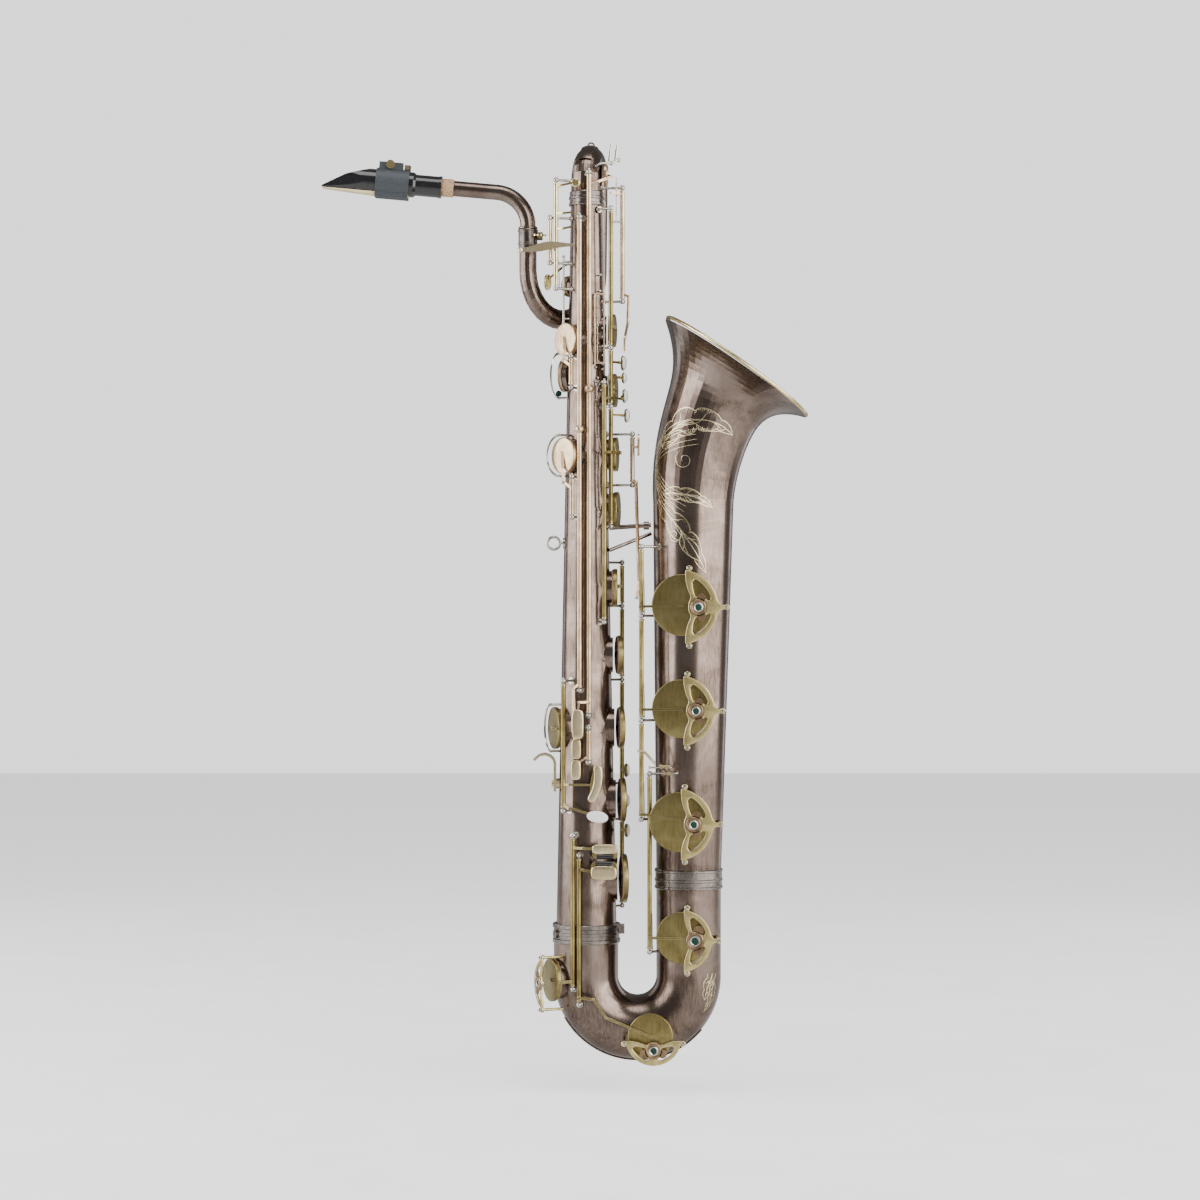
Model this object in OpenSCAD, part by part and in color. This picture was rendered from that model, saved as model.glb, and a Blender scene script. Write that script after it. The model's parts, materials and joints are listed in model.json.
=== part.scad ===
// Low-A baritone saxophone, standing upright, seen from the player's right.
// +Z runs up the body tube, +X points from the body tube to the bell, -Y is the keywork side.
// The origin is the centre of the strap ring.  Millimetres.

/* [Body tube] */
// Distance of the body tube axis from the strap ring
body_x = 34.5; // [34:0.1:35]
// Height of the top end of the body tube
body_top = 355; // [352:0.5:356]
// Outer radius of the body tube at its top end
body_top_r = 16.5; // [16:0.1:17]
// Growth of the radius for each millimetre further down
body_taper = 0.02; // [0.018:0.001:0.021]
// Thickness of the tube walls
wall = 1.2; // [0.8:0.1:1.4]

/* [Bow and bell] */
// Height of the clamp ring that joins the body and the bow
ring_z = -410; // [-411:0.5:-409]
// Height of the centre of the bow's bend
bow_z = -455; // [-456:0.5:-454]
// Radius of the bow's bend, measured to the tube axis
bow_bend = 54; // [53.5:0.1:54.5]
// Outer radius of the bow tube
bow_r = 34; // [33.5:0.1:34]
// Height of the joint between the bow and the bell
bell_joint_z = -352.5; // [-353:0.5:-352]
// Height at which the bell begins to curve
flare_z = 45; // [44:0.5:46]
// Outer radius of the bell where it begins to curve
flare_r = 42.5; // [42:0.1:43]
// Radius of the bell's rim
rim_r = 90; // [86:1:90]
// Radius of the curve that the bell's axis follows
flare_bend = 250; // [245:1:255]
// Angle that the bell's axis turns through
flare_turn = 34.5; // [33:0.5:35]

/* [Neck and mouthpiece] */
// Distance of the neck receiver from the strap ring, towards the player
receiver_x = -27.5; // [-28:0.1:-27]
// Offset of the neck behind the body tube's plane
neck_y = 14; // [13:0.5:15]
// Height of the neck's horizontal end
neck_z = 372.5; // [372:0.5:374]
// Outer radius of the neck tube
neck_r = 8.2; // [8:0.1:8.3]
// Tip of the mouthpiece
tip_x = -244; // [-246:1:-243]

/* [Keywork] */
// Radius of the steel hinge rods
rod_r = 1.2; // [1:0.05:1.2]
// Running clearance between a hinge rod and its key tube
fit = 0.05; // [0.03:0.01:0.08]
// Outer radius of the key tubes
tube_r = 2.4; // [2.3:0.1:2.5]
// Radius of the ball on a post
ball_r = 2.9; // [2.7:0.1:3]
// Rise of an open stack key at the middle of its cup
stack_lift = 3.2; // [2.5:0.1:3.4]
// Angle by which the large open bell keys stand away
bell_key_open = 9; // [8:0.5:9.5]

/* [Hidden] */
$fn = 64;

// Colours, plain stand-ins for the finishes
bronze = [0.45, 0.38, 0.34];
dark_bronze = [0.36, 0.31, 0.29];
antique = [0.55, 0.48, 0.26];
bright_brass = [0.80, 0.68, 0.38];
rod_brass = [0.72, 0.58, 0.40];
silver = [0.75, 0.74, 0.70];
ebonite = [0.07, 0.07, 0.08];

function body_r(z) = body_top_r + (body_top - z) * body_taper;
bell_x = body_x + 2 * bow_bend - 0.5;
bow_x = (body_x - 0.5 + bell_x) / 2;
bow_leg_x = bow_x - bow_bend;
stem_lean = 0.72;
stem_h = (flare_z - bell_joint_z - 0.5) / cos(stem_lean);
stem_gap = 0.5;
function stem_x(z) = bell_x + (z - bell_joint_z) * tan(stem_lean);
function stem_r(z) = bow_r + (flare_r - bow_r) * (z - bell_joint_z) / (flare_z - bell_joint_z);
small = 0.02;
eps = 0.01;

// ---------------------------------------------------------------- shared shapes

// Round bar from p to q
module strut(p, q, r) {
    d = q - p;
    length = norm(d);
    translate(p)
        rotate([0, acos(d.z / length), atan2(d.y, d.x)])
            cylinder(h = length, r = r);
}

// Flat bar from p to q: w across, h deep
module bar(p, q, w, h) {
    d = q - p;
    length = norm(d);
    translate(p)
        rotate([0, acos(d.z / length), atan2(d.y, d.x)])
            translate([-w / 2, -h / 2, 0])
                cube([w, h, length]);
}

// Arm through a list of points, as wide as twice r, with a ball at each bend
module bent_bar(points, r) {
    for (i = [0 : len(points) - 2])
        bar(points[i], points[i + 1], r * 1.6, r * 1.9);
    for (i = [1 : 1 : len(points) - 2])
        translate(points[i]) rotate([17, 31, 11]) sphere(r = r * 1.22, $fn = 32);
}

// Turns what follows about a vertical hinge line at x, y
module about(x, y, angle) {
    translate([x, y, 0])
        rotate([0, 0, angle])
            translate([-x, -y, 0])
                children();
}

// Rolled key tube on a vertical hinge line, with a collar ring at each end
module key_tube(x, y, z0, z1) {
    translate([x, y, z0]) {
        cylinder(h = z1 - z0, r = tube_r);
        cylinder(h = 1.6, r = tube_r + 0.45);
        translate([0, 0, z1 - z0 - 1.6]) cylinder(h = 1.6, r = tube_r + 0.45);
    }
}

// The hole that a hinge rod runs in
module key_bore(x, y, z0, z1) {
    translate([x, y, z0 - 1]) cylinder(h = z1 - z0 + 2, r = rod_r + fit);
}

// A vertical hinge key: everything given is joined, then bored for its rod
module hinged(x, y, z0, z1) {
    difference() {
        union() {
            key_tube(x, y, z0, z1);
            children();
        }
        key_bore(x, y, z0, z1);
    }
}

// Pad cup of radius r lying on z = 0, open side down: a rolled edge and a low, flat crown
cup_t = 4.6;
module cup(r) {
    rotate([0, 0, 27])
        rotate_extrude()
            polygon([[0, 0], [r - 0.5, 0], [r, 0.5], [r, 2.5], [r - 0.6, 3],
                [r * 0.86, cup_t - 0.5], [r * 0.72, cup_t], [0, cup_t]]);
}

// Pad cup on a tube of the body: its axis leaves the hinge-free axis point (ax, 0, z)
// towards the azimuth given, and its open side lies at the distance d
module radial_cup(ax, z, azimuth, d, r) {
    translate([ax, 0, z])
        rotate([0, 0, azimuth])
            translate([d, 0, 0])
                rotate([0, 90, 0])
                    cup(r);
}

// Pad cup whose axis points to -Y, with its open side at y = -d
module front_cup(x, z, d, r) {
    translate([x, -d, z]) rotate([90, 0, 0]) cup(r);
}

// Shallow brass seat that holds a pearl, opening along the azimuth given
module pearl_seat(p, azimuth, r) {
    translate(p)
        rotate([0, 0, azimuth])
            rotate([0, 90, 0]) {
                cylinder(h = 1.4, r1 = r - 1.2, r2 = r);
                translate([0, 0, 1.4 - eps])
                    difference() {
                        cylinder(h = 1.0, r = r);
                        translate([0, 0, 0.2]) cylinder(h = 1.5, r = r - 0.6);
                    }
            }
}

// Closed tube swept along rings of points: outer rings first, inner rings after
function ring_points(c, t, side, r, n) =
    let (u = side / norm(side), v = cross(t, u) / norm(cross(t, u)))
    [for (i = [0 : n - 1]) let (a = 360 * i / n) c + r * (cos(a) * u + sin(a) * v)];
module shell(outer, inner) {
    n = len(outer[0]);
    m = len(outer);
    points = concat([for (ring = outer) each ring], [for (ring = inner) each ring]);
    function at(layer, k, i) = layer * m * n + k * n + i % n;
    polyhedron(points = points, convexity = 6, faces = concat(
        [for (k = [0 : m - 2], i = [0 : n - 1])
            each [[at(0, k, i), at(0, k + 1, i + 1), at(0, k, i + 1)],
                  [at(0, k, i), at(0, k + 1, i), at(0, k + 1, i + 1)]]],
        [for (k = [0 : m - 2], i = [0 : n - 1])
            each [[at(1, k, i), at(1, k, i + 1), at(1, k + 1, i + 1)],
                  [at(1, k, i), at(1, k + 1, i + 1), at(1, k + 1, i)]]],
        [for (i = [0 : n - 1])
            each [[at(0, 0, i), at(0, 0, i + 1), at(1, 0, i + 1)],
                  [at(0, 0, i), at(1, 0, i + 1), at(1, 0, i)]]],
        [for (i = [0 : n - 1])
            each [[at(0, m - 1, i), at(1, m - 1, i + 1), at(0, m - 1, i + 1)],
                  [at(0, m - 1, i), at(1, m - 1, i), at(1, m - 1, i + 1)]]]));
}

// ---------------------------------------------------------------- tone holes

chimney_rise = 2;
pad_gap = 1.4;
// Holes of the stack, on the +X side of the body: height and cup radius
STACK = [[223.8, 17.3], [160.8, 17.6], [93.6, 18], [34.8, 19.3], [-47, 20], [-117.5, 20.5],
    [-194, 22], [-270, 23], [-352.7, 25.5]];
// Holes at other azimuths: height, cup radius, azimuth, rise of the chimney
SIDE_C = [213, 17.3, 219, 4];
SIDE_BB = [91.5, 19, 219, 4.5];
TRILL = [-194, 22, 196, 3];
PALM = [272, 11, 140, 2];
SIDES = [SIDE_C, SIDE_BB, TRILL, PALM];
// Large holes on the -Y side: x, height, cup radius
LOW_A = [136.5, -65, 32];
LOW_BB = [134.8, -172.4, 30.3];
LOW_B = [132.2, -290, 31];
LOW_CS = [135.3, -410.4, 27];
LOW_C = [102, -512, 23.5];
LOW_EB = [-458, 22.4, 202, 1];
function stem_top(key) = stem_r(key[1]) + 4;
bow_top = bow_r + 4;

module chimney(r, h) { cylinder(h = h, r = r - 2); }
module chimney_bore(r, h) { cylinder(h = h, r = r - 3.4); }

// Places a chimney on the body axis at height z, pointing along an azimuth
module on_body(z, azimuth) {
    translate([body_x, 0, z]) rotate([0, 0, azimuth]) rotate([0, 90, 0]) children();
}

// ---------------------------------------------------------------- tubes

module body_tube() {
    low = ring_z;
    color(bronze)
        difference() {
            union() {
                translate([body_x, 0, low])
                    cylinder(h = body_top - low, r1 = body_r(low), r2 = body_r(body_top));
                for (hole = STACK)
                    on_body(hole[0], 0) chimney(hole[1], body_r(hole[0]) + chimney_rise);
                for (hole = SIDES)
                    on_body(hole[0], hole[2]) chimney(hole[1], body_r(hole[0]) + hole[3]);
            }
            translate([body_x, 0, low - 1])
                cylinder(h = body_top - low + 2, r1 = body_r(low) - wall,
                    r2 = body_r(body_top) - wall);
            for (hole = STACK)
                on_body(hole[0], 0) chimney_bore(hole[1], 60);
            for (hole = SIDES)
                on_body(hole[0], hole[2]) chimney_bore(hole[1], 60);
        }
}

ring_low = -419.8;
module body_bow_ring() {
    color(dark_bronze)
        difference() {
            union() {
                translate([body_x, 0, ring_low])
                    rotate_extrude($fn = 96)
                        polygon([[body_r(ring_z) + 0.3, 0], [35, 0], [35.7, 0.8], [35.7, 4.2],
                            [34.6, 5], [34.6, 8.4], [35.4, 9], [35.4, 11.4], [34.6, 12],
                            [34.6, 15.4], [35.7, 16.2], [35.7, 19.6], [35, 20.4],
                            [body_r(ring_z) + 0.3, 20.4]]);
                translate([body_x + 33.5, -3.6, ring_low + 9]) cube([6.5, 2.8, 10]);
                translate([body_x + 33.5, 0.8, ring_low + 9]) cube([6.5, 2.8, 10]);
                translate([body_x + 37.3, -6, ring_low + 14])
                    rotate([-90, 0, 0]) cylinder(h = 12, r = 2.2);
                translate([body_x, 0, ring_low + 10])
                    rotate([0, 0, 205]) rotate([0, 90, 0]) cylinder(h = 37, r = 4.6);
            }
            translate([body_x, 0, ring_low - 1])
                cylinder(h = 23, r = body_r(ring_z) + 0.3);
            translate([body_x + 30, -0.8, ring_low - 1]) cube([12, 1.6, 23]);
        }
}

module bow_bend_solid(r) {
    translate([bow_x, 0, bow_z])
        rotate([90, 0, 0])
            rotate_extrude(angle = -180, $fn = 96)
                translate([bow_bend, 0]) circle(r = r);
}

module bow() {
    left_top = ring_low - 0.1;
    color(bronze)
        difference() {
            union() {
                translate([bow_leg_x + 0.5, 0, left_top - 0.1])
                    cylinder(h = ring_z - left_top, r = body_r(ring_z));
                translate([bow_leg_x, 0, bow_z])
                    cylinder(h = left_top - bow_z, r = bow_r);
                translate([bell_x, 0, bow_z])
                    cylinder(h = bell_joint_z - bow_z, r = bow_r);
                bow_bend_solid(bow_r);
                translate([LOW_CS[0], 0, LOW_CS[1]])
                    rotate([90, 0, 0]) chimney(LOW_CS[2], bow_top);
                translate([LOW_C[0], 0, LOW_C[1]])
                    rotate([90, 0, 0]) chimney(LOW_C[2], bow_top);
                translate([bow_leg_x, 0, LOW_EB[0]])
                    rotate([0, 0, LOW_EB[2]]) rotate([0, 90, 0])
                        chimney(LOW_EB[1], bow_r + LOW_EB[3]);
            }
            translate([bow_leg_x + 0.5, 0, left_top - 1])
                cylinder(h = 40, r = body_r(ring_z) - wall);
            translate([bow_leg_x, 0, bow_z]) cylinder(h = left_top - bow_z - 1, r = bow_r - wall);
            translate([bell_x, 0, bow_z])
                cylinder(h = bell_joint_z - bow_z + 1, r = bow_r - wall);
            bow_bend_solid(bow_r - wall);
            translate([LOW_CS[0], 0, LOW_CS[1]]) rotate([90, 0, 0]) chimney_bore(LOW_CS[2], 60);
            translate([LOW_C[0], 0, LOW_C[1]]) rotate([90, 0, 0]) chimney_bore(LOW_C[2], 60);
            translate([bow_leg_x, 0, LOW_EB[0]])
                rotate([0, 0, LOW_EB[2]]) rotate([0, 90, 0]) chimney_bore(LOW_EB[1], 60);
        }
}

// Protective strip along the outside of the bend
module bow_guard() {
    color(bronze)
        translate([bow_x, 0, bow_z])
            rotate([90, 0, 0])
                translate([0, 0, -9])
                    bent_strip(bow_bend + bow_r + 0.05, 1.1, 18, 40, 150);
}
// Strip of thickness t and width w round a bend of radius r, from the angle a0 to a1
module bent_strip(r, t, w, a0, a1) {
    rotate([0, 0, -a0])
        rotate_extrude(angle = a0 - a1, $fn = 128)
            polygon([[r, 0], [r + t * 0.4, 0], [r + t, 1.2], [r + t, w - 1.2],
                [r + t * 0.4, w], [r, w]]);
}

module bell_bow_ferrule() {
    h0 = -363;
    color(dark_bronze)
        translate([bell_x, 0, h0])
            rotate_extrude($fn = 96)
                polygon([[bow_r + small, 0], [35.2, 0], [35.9, 0.9], [35.9, 2.6], [35.1, 3.4],
                    [35.1, 7.6], [35.9, 8.4], [35.9, 10.2], [35.1, 11], [35.1, 17.4],
                    [35.9, 18.2], [35.9, 20], [35.3, 20.8], [34.8, 20.8], [34.8, 11.2],
                    [bow_r + small, 10.6]]);
}

module stem_place() {
    translate([bell_x, 0, bell_joint_z + stem_gap])
        rotate([0, stem_lean, 0])
            children();
}

module bell_stem() {
    color(bronze)
        difference() {
            union() {
                stem_place() cylinder(h = stem_h, r1 = bow_r, r2 = flare_r, $fn = 96);
                for (key = [LOW_A, LOW_BB, LOW_B])
                    translate([key[0], 0, key[1]])
                        rotate([90, 0, 0]) chimney(key[2], stem_top(key));
            }
            stem_place()
                translate([0, 0, -0.01])
                    cylinder(h = stem_h + 0.02, r1 = bow_r - wall, r2 = flare_r - wall, $fn = 96);
            for (key = [LOW_A, LOW_BB, LOW_B])
                translate([key[0], 0, key[1]])
                    rotate([90, 0, 0]) chimney_bore(key[2], 70);
        }
}

// Axis of the flare at the angle a, and its outer radius there
flare_foot = [stem_x(flare_z), 0, flare_z];
flare_heart = flare_foot + flare_bend * [cos(stem_lean), 0, -sin(stem_lean)];
flare_end = stem_lean + flare_turn;
function flare_axis(a) = flare_heart + flare_bend * [-cos(a), 0, sin(a)];
function flare_radius(u) = flare_r + (rim_r - flare_r) * (0.23 * u + 0.77 * pow(u, 12 - 5 * u));

flare_rings = 22;
module bell_flare() {
    n = 48;
    steps = [for (i = [0 : flare_rings]) 1 - pow(1 - i / flare_rings, 1.7)];
    function turn(u) = stem_lean + (flare_turn - 0.55) * u;
    function ring(u, inset) = ring_points(flare_axis(turn(u)),
        [sin(turn(u)), 0, cos(turn(u))], [0, 1, 0], flare_radius(u) - inset, n);
    color(bronze)
        shell([for (u = steps) ring(u, 0)], [for (u = steps) ring(u, wall)]);
}

module bell_rim() {
    color(bright_brass)
        translate(flare_axis(flare_end))
            rotate([0, flare_end, 0])
                rotate_extrude($fn = 128)
                    translate([rim_r - 0.9, 0]) circle(r = 1.9, $fn = 24);
}

// Brace between the body and the bell: two legs to saddles on each tube
module bell_brace() {
    z = 16.5;
    x0 = body_x + body_r(z);
    x1 = stem_x(z) - stem_r(z);
    color(bronze)
        union() {
            strut([x0 + 0.8, 14, z], [x1 - 2, 14, z + 3], 2.4);
            strut([x0 + 0.8, -4, z - 24], [x1 - 2, 10, z - 6], 2.0);
            translate([x1 - 10, 14, z + 2.4]) rotate([0, 90, 0]) cylinder(h = 6, r = 4.4);
        }
}

// ---------------------------------------------------------------- upper bow and loop

ferrule_h = 15;
leg = [44, 50];
leg_r = 12.8;
leg_z = 365;
upper_bow_z = 381;
module upper_bow_ferrule() {
    color(dark_bronze)
        translate([body_x, 0, body_top])
            rotate_extrude($fn = 96)
                polygon([[body_top_r, 0.05], [18.2, 0.05], [18.7, 0.8], [18.7, 2.4], [17.9, 3.2],
                    [17.9, 6.4], [18.7, 7.2], [18.7, 9], [17.9, 9.8], [17.9, 14.2],
                    [17.4, ferrule_h], [body_top_r, ferrule_h]]);
}

upper_u = [leg.x - body_x, leg.y];
upper_r = norm(upper_u) / 2;
upper_side = [leg.y, -(leg.x - body_x), 0];
vent = [23, -17.5, 377];
high_e = [55, 3.3, 387.6];
high_e_r = 12.4;
module upper_bow() {
    n = 32;
    turns = [for (i = [0 : 14]) 180 * i / 14];
    function r_at(f) = body_top_r - 0.2 + (leg_r - body_top_r + 0.2) * f;
    function c_at(t) = [body_x, 0, upper_bow_z] + (1 - cos(t)) / 2 * [upper_u.x, upper_u.y, 0]
        + [0, 0, upper_r * sin(t)];
    function t_at(t) = [sin(t) * upper_u.x / 2, sin(t) * upper_u.y / 2, upper_r * cos(t)];
    function ring_set(inset) = concat(
        [ring_points([body_x, 0, body_top + 0.1], [0, 0, 1], upper_side, r_at(0) - inset, n)],
        [for (t = turns)
            ring_points(c_at(t), t_at(t) / norm(t_at(t)), upper_side, r_at(t / 180) - inset, n)],
        [ring_points([leg.x, leg.y, leg_z + 0.1], [0, 0, -1], upper_side, r_at(1) - inset, n)]);
    color(bronze)
        shell(ring_set(0), ring_set(wall));
}

// Crown plate that follows the top bend, with the small wire loop that stands on it
module upper_bow_guard() {
    mid = [body_x, 0, upper_bow_z] + [upper_u.x, upper_u.y, 0] / 2;
    tube_r = (body_top_r + leg_r) / 2 + 0.3;
    color(bronze) {
        translate(mid)
            rotate([0, 0, atan2(upper_u.y, upper_u.x)])
                rotate([90, 0, 0])
                    translate([-1.4, 0, 0])
                        rotate([0, 0, 35])
                            rotate_extrude(angle = 110, $fn = 96)
                                translate([upper_r, 0])
                                    intersection() {
                                        difference() {
                                            circle(r = tube_r + 1, $fn = 96);
                                            circle(r = tube_r, $fn = 96);
                                        }
                                        translate([0, -7]) square([30, 14]);
                                    }
        translate(mid + [0, 0, upper_r + tube_r + 0.7])
            rotate([90, 0, 0])
                rotate_extrude(angle = 180, $fn = 72)
                    translate([3.2, 0]) circle(r = 0.9, $fn = 24);
    }
}

receiver_low = 312;
receiver_high = 332;
loop_z = 289;
loop_drop = 51;
loop_r = 9.2;
module upper_loop() {
    n = 24;
    span = [leg.x - receiver_x, leg.y - neck_y];
    side = [-span.y, span.x, 0];
    turns = [for (i = [0 : 16]) 180 * i / 16];
    function r_at(f) = loop_r + (leg_r - loop_r) * f;
    function c_at(t) = [receiver_x, neck_y, loop_z] + (1 - cos(t)) / 2 * [span.x, span.y, 0]
        - [0, 0, loop_drop * sin(t)];
    function t_at(t) = [sin(t) * span.x / 2, sin(t) * span.y / 2, -loop_drop * cos(t)];
    function ring_set(inset) = concat(
        [ring_points([receiver_x, neck_y, receiver_low - 0.1], [0, 0, -1], side,
            loop_r - inset, n)],
        [for (t = turns)
            ring_points(c_at(t), t_at(t) / norm(t_at(t)), side,
                r_at(0.75 * t / 180) - inset, n)],
        [ring_points([leg.x, leg.y, leg_z], [0, 0, 1], side, leg_r - inset, n)]);
    color(bronze)
        shell(ring_set(0), ring_set(wall));
}

screw_z = 325;
module neck_receiver() {
    color(dark_bronze)
        difference() {
            union() {
                translate([receiver_x, neck_y, receiver_low])
                    rotate_extrude($fn = 72)
                        polygon([[neck_r + 0.1, 2.2], [neck_r + 0.1, 20], [10.4, 20], [10.8, 19.4],
                            [10.8, 18], [10.1, 17.4], [10.1, 6], [10.6, 5.4], [10.6, 4.2],
                            [9.8, 3.4], [9.4, 0], [7.6, 0], [7.6, 2.2]]);
                translate([receiver_x + 8.6, neck_y - 3.4, screw_z - 4]) cube([7, 2.6, 8]);
                translate([receiver_x + 8.6, neck_y + 0.8, screw_z - 4]) cube([7, 2.6, 8]);
            }
            translate([receiver_x + 6, neck_y - 0.8, receiver_low + 3]) cube([12, 1.6, 20]);
            translate([receiver_x + 12.6, neck_y - 9, screw_z])
                rotate([-90, 0, 0]) cylinder(h = 18, r = 1.55);
        }
}

module neck_screw() {
    color(bright_brass)
        translate([receiver_x + 12.6, neck_y - 12.5, screw_z])
            rotate([-90, 0, 0])
                union() {
                    cylinder(h = 17.5, r = 1.5);
                    translate([0, 0, 5.5]) cylinder(h = 3, r = 3.2);
                    for (side = [-1, 1])
                        translate([side * 3.4, 0, 2.6])
                            rotate([90, 0, 0])
                                translate([0, 0, -0.9]) cylinder(h = 1.8, r = 3.4);
                }
}

// ---------------------------------------------------------------- neck and mouthpiece

neck_bend = 36;
neck_tilt = 5;
bend_low = neck_z - 0.9 - neck_bend;
bend_end = [receiver_x - neck_bend + neck_bend * sin(neck_tilt), neck_y,
    bend_low + neck_bend * cos(neck_tilt)];

// Frame of the neck's straight end: +Z runs outward along the bore, +X points up
module along_neck(s = 0) {
    translate(bend_end)
        rotate([0, neck_tilt - 90, 0])
            translate([0, 0, s])
                children();
}
function neck_s(x) = (bend_end.x - x) / cos(neck_tilt);

neck_end = neck_s(-140);
module neck_solid(r, extra) {
    translate([receiver_x, neck_y, receiver_low + 3 - extra])
        cylinder(h = bend_low - receiver_low - 3 + extra, r = r);
    translate([receiver_x - neck_bend, neck_y, bend_low])
        rotate([90, 0, 0])
            rotate_extrude(angle = 90 - neck_tilt, $fn = 96)
                translate([neck_bend, 0]) circle(r = r);
    along_neck() cylinder(h = neck_end + extra, r = r);
}
module neck() {
    color(bronze)
        difference() {
            union() {
                neck_solid(neck_r, 0);
                translate([receiver_x, neck_y, receiver_high + 0.3])
                    rotate_extrude()
                        polygon([[neck_r - 0.5, 0], [9.6, 0], [10.2, 0.7], [10.2, 1.9],
                            [9.4, 2.8], [neck_r - 0.5, 3.2]]);
            }
            neck_solid(neck_r - wall, 1);
        }
}

cork_out = 9.6;
cork_in = 8.95;
module neck_cork() {
    shown = neck_s(-118.2) - neck_s(-106);
    color([0.72, 0.55, 0.38])
        along_neck(neck_s(-106))
            rotate_extrude()
                polygon([[neck_r, 0], [cork_out - 0.4, 0], [cork_out, 0.8],
                    [cork_out, shown - 0.8], [cork_in, shown], [cork_in, 33],
                    [cork_in - 0.4, 33.6], [neck_r, 33.6]]);
}

mouth_s0 = neck_s(-118.7);
body_s0 = neck_s(-146);
tip_s = neck_s(tip_x);
beak_s = neck_s(-195);
mouth_r = 13.3;
table_x = -11;
module mouthpiece() {
    color(ebonite)
        difference() {
            union() {
                along_neck(mouth_s0) cylinder(h = body_s0 - mouth_s0 + 1, r = 11.2);
                along_neck(mouth_s0) cylinder(h = 3, r = 11.7);
                along_neck(body_s0) cylinder(h = 2.4, r1 = 11.4, r2 = mouth_r);
                along_neck(body_s0 + 2.4) cylinder(h = tip_s - body_s0 - 2.4, r = mouth_r);
            }
            along_neck(mouth_s0 - 1) cylinder(h = body_s0 - mouth_s0 + 3, r = cork_in + fit);
            along_neck(body_s0 - 1) cylinder(h = 60, r = 7.6);
            // flat table under the reed
            along_neck(0)
                translate([table_x - 20, -20, neck_s(-152)])
                    cube([20, 40, 60 + tip_s - neck_s(-152)]);
            // beak, sloping down to the tip
            along_neck(0)
                rotate([90, 0, 0])
                    translate([0, 0, -20])
                        linear_extrude(40)
                            polygon([[mouth_r + 1, beak_s - 4], [mouth_r - 0.3, beak_s],
                                [4.5, beak_s + 25], [table_x + 1.6, tip_s + 0.5],
                                [mouth_r + 20, tip_s + 0.5]]);
            // sides drawn in towards the tip
            for (side = [-1, 1])
                along_neck(0)
                    rotate([0, 90, 0])
                        translate([0, 0, -20])
                            linear_extrude(45)
                                polygon([[-beak_s + 4, side * 14], [-tip_s, side * 8.8],
                                    [-tip_s - 2, side * 8.8], [-tip_s - 2, side * 20],
                                    [-beak_s + 4, side * 20]]);
            // window under the reed
            along_neck(neck_s(-188) - 6)
                translate([table_x - 1, -6.5, 0]) cube([table_x * -1, 13, tip_s - neck_s(-188)]);
        }
}

reed_s0 = neck_s(-147);
module reed() {
    color([0.87, 0.80, 0.58])
        along_neck(0)
            rotate([90, 0, 0])
                translate([0, 0, -8.4])
                    linear_extrude(16.8)
                        polygon([[table_x - small, reed_s0 + 6], [table_x - small, tip_s - 0.2],
                            [table_x - 0.35, tip_s - 0.2], [table_x - 3.3, neck_s(-192)],
                            [table_x - 3.5, reed_s0 + 6]]);
}

lig_s0 = neck_s(-153);
lig_s1 = neck_s(-188);
module lig_outline(grow) {
    circle(r = mouth_r + grow);
    translate([table_x - 3.55 - grow, -8.6 - grow]) square([10, 17.2 + 2 * grow]);
}
module ligature() {
    color([0.13, 0.14, 0.16])
        along_neck(lig_s0)
            difference() {
                union() {
                    linear_extrude(lig_s1 - lig_s0) lig_outline(1.7);
                    translate([mouth_r, -5.5, 8]) cube([8.2, 4.2, 25]);
                    translate([mouth_r, 1.3, 8]) cube([8.2, 4.2, 25]);
                    translate([mouth_r, -5.5, 0]) cube([6.4, 4.2, 6]);
                    translate([mouth_r, 1.3, 0]) cube([6.4, 4.2, 6]);
                }
                translate([0, 0, -1]) linear_extrude(lig_s1 - lig_s0 + 2) lig_outline(small);
                translate([0, -1.3, -1]) cube([30, 2.6, 60]);
                for (place = SCREWS)
                    translate([place[0], -10, place[1]])
                        rotate([-90, 0, 0]) cylinder(h = 20, r = 1.55);
            }
}
// Clamp screws: height above the bore axis and distance along the ligature
SCREWS = [[18.9, 21], [16.6, 3]];
module clamp_screw(place, head_r, head_h) {
    color(bright_brass)
        along_neck(lig_s0)
            translate([place[0], -5.6 - head_h, place[1]])
                rotate([-90, 0, 0])
                    union() {
                        cylinder(h = head_h, r = head_r);
                        cylinder(h = head_h + 12.4, r = 1.5);
                    }
}
module ligature_screw_front() { clamp_screw(SCREWS[0], 4.6, 3.4); }
module ligature_screw_rear() { clamp_screw(SCREWS[1], 2.4, 2.2); }

// ---------------------------------------------------------------- hinge lines

// Each line: x, y, and the heights of its posts from the top down
UPPER = [60, -25, [350, 204, 143, 17]];
UPPER_A = [53.2, -29, [168, -82.7]];
LOWER = [72, 30, [-20, -66, -144.2, -254.2, -292.2, -384.2]];
SIDE_BB_LINE = [27.2, -33.6, [340.3, -153.9]];
HIGH_E_LINE = [37.3, -31.2, [387.3, -180.2]];
SIDE_C_LINE = [18.5, -28, [195.2, 162.3]];
SIDE_BB_CUP = [19.5, -31.5, [69.2, 26.8]];
SIDE_C_TOUCH = [37, -34, [-193, -229]];
TRILL_LINE = [10.4, -33, [-144, -279.6]];
EB_LINE = [20.3, -37, [-305, -465]];
C_LINE = [26.7, -37.8, [-326, -481.2]];
BELL_LINE = [91.8, -36, [-4, -76.2, -185.2, -288.2]];
CS_LINE = [100.4, -35.5, [-240.8, -426.4]];
OCTAVE_LINE = [-3.8, -14, [341.2, 293.8]];
VENT_LINE = [2.5, -17, [380.4, 266.8]];
FRONT_F_LINE = [72.3, -6, [373.4, 254]];
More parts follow.
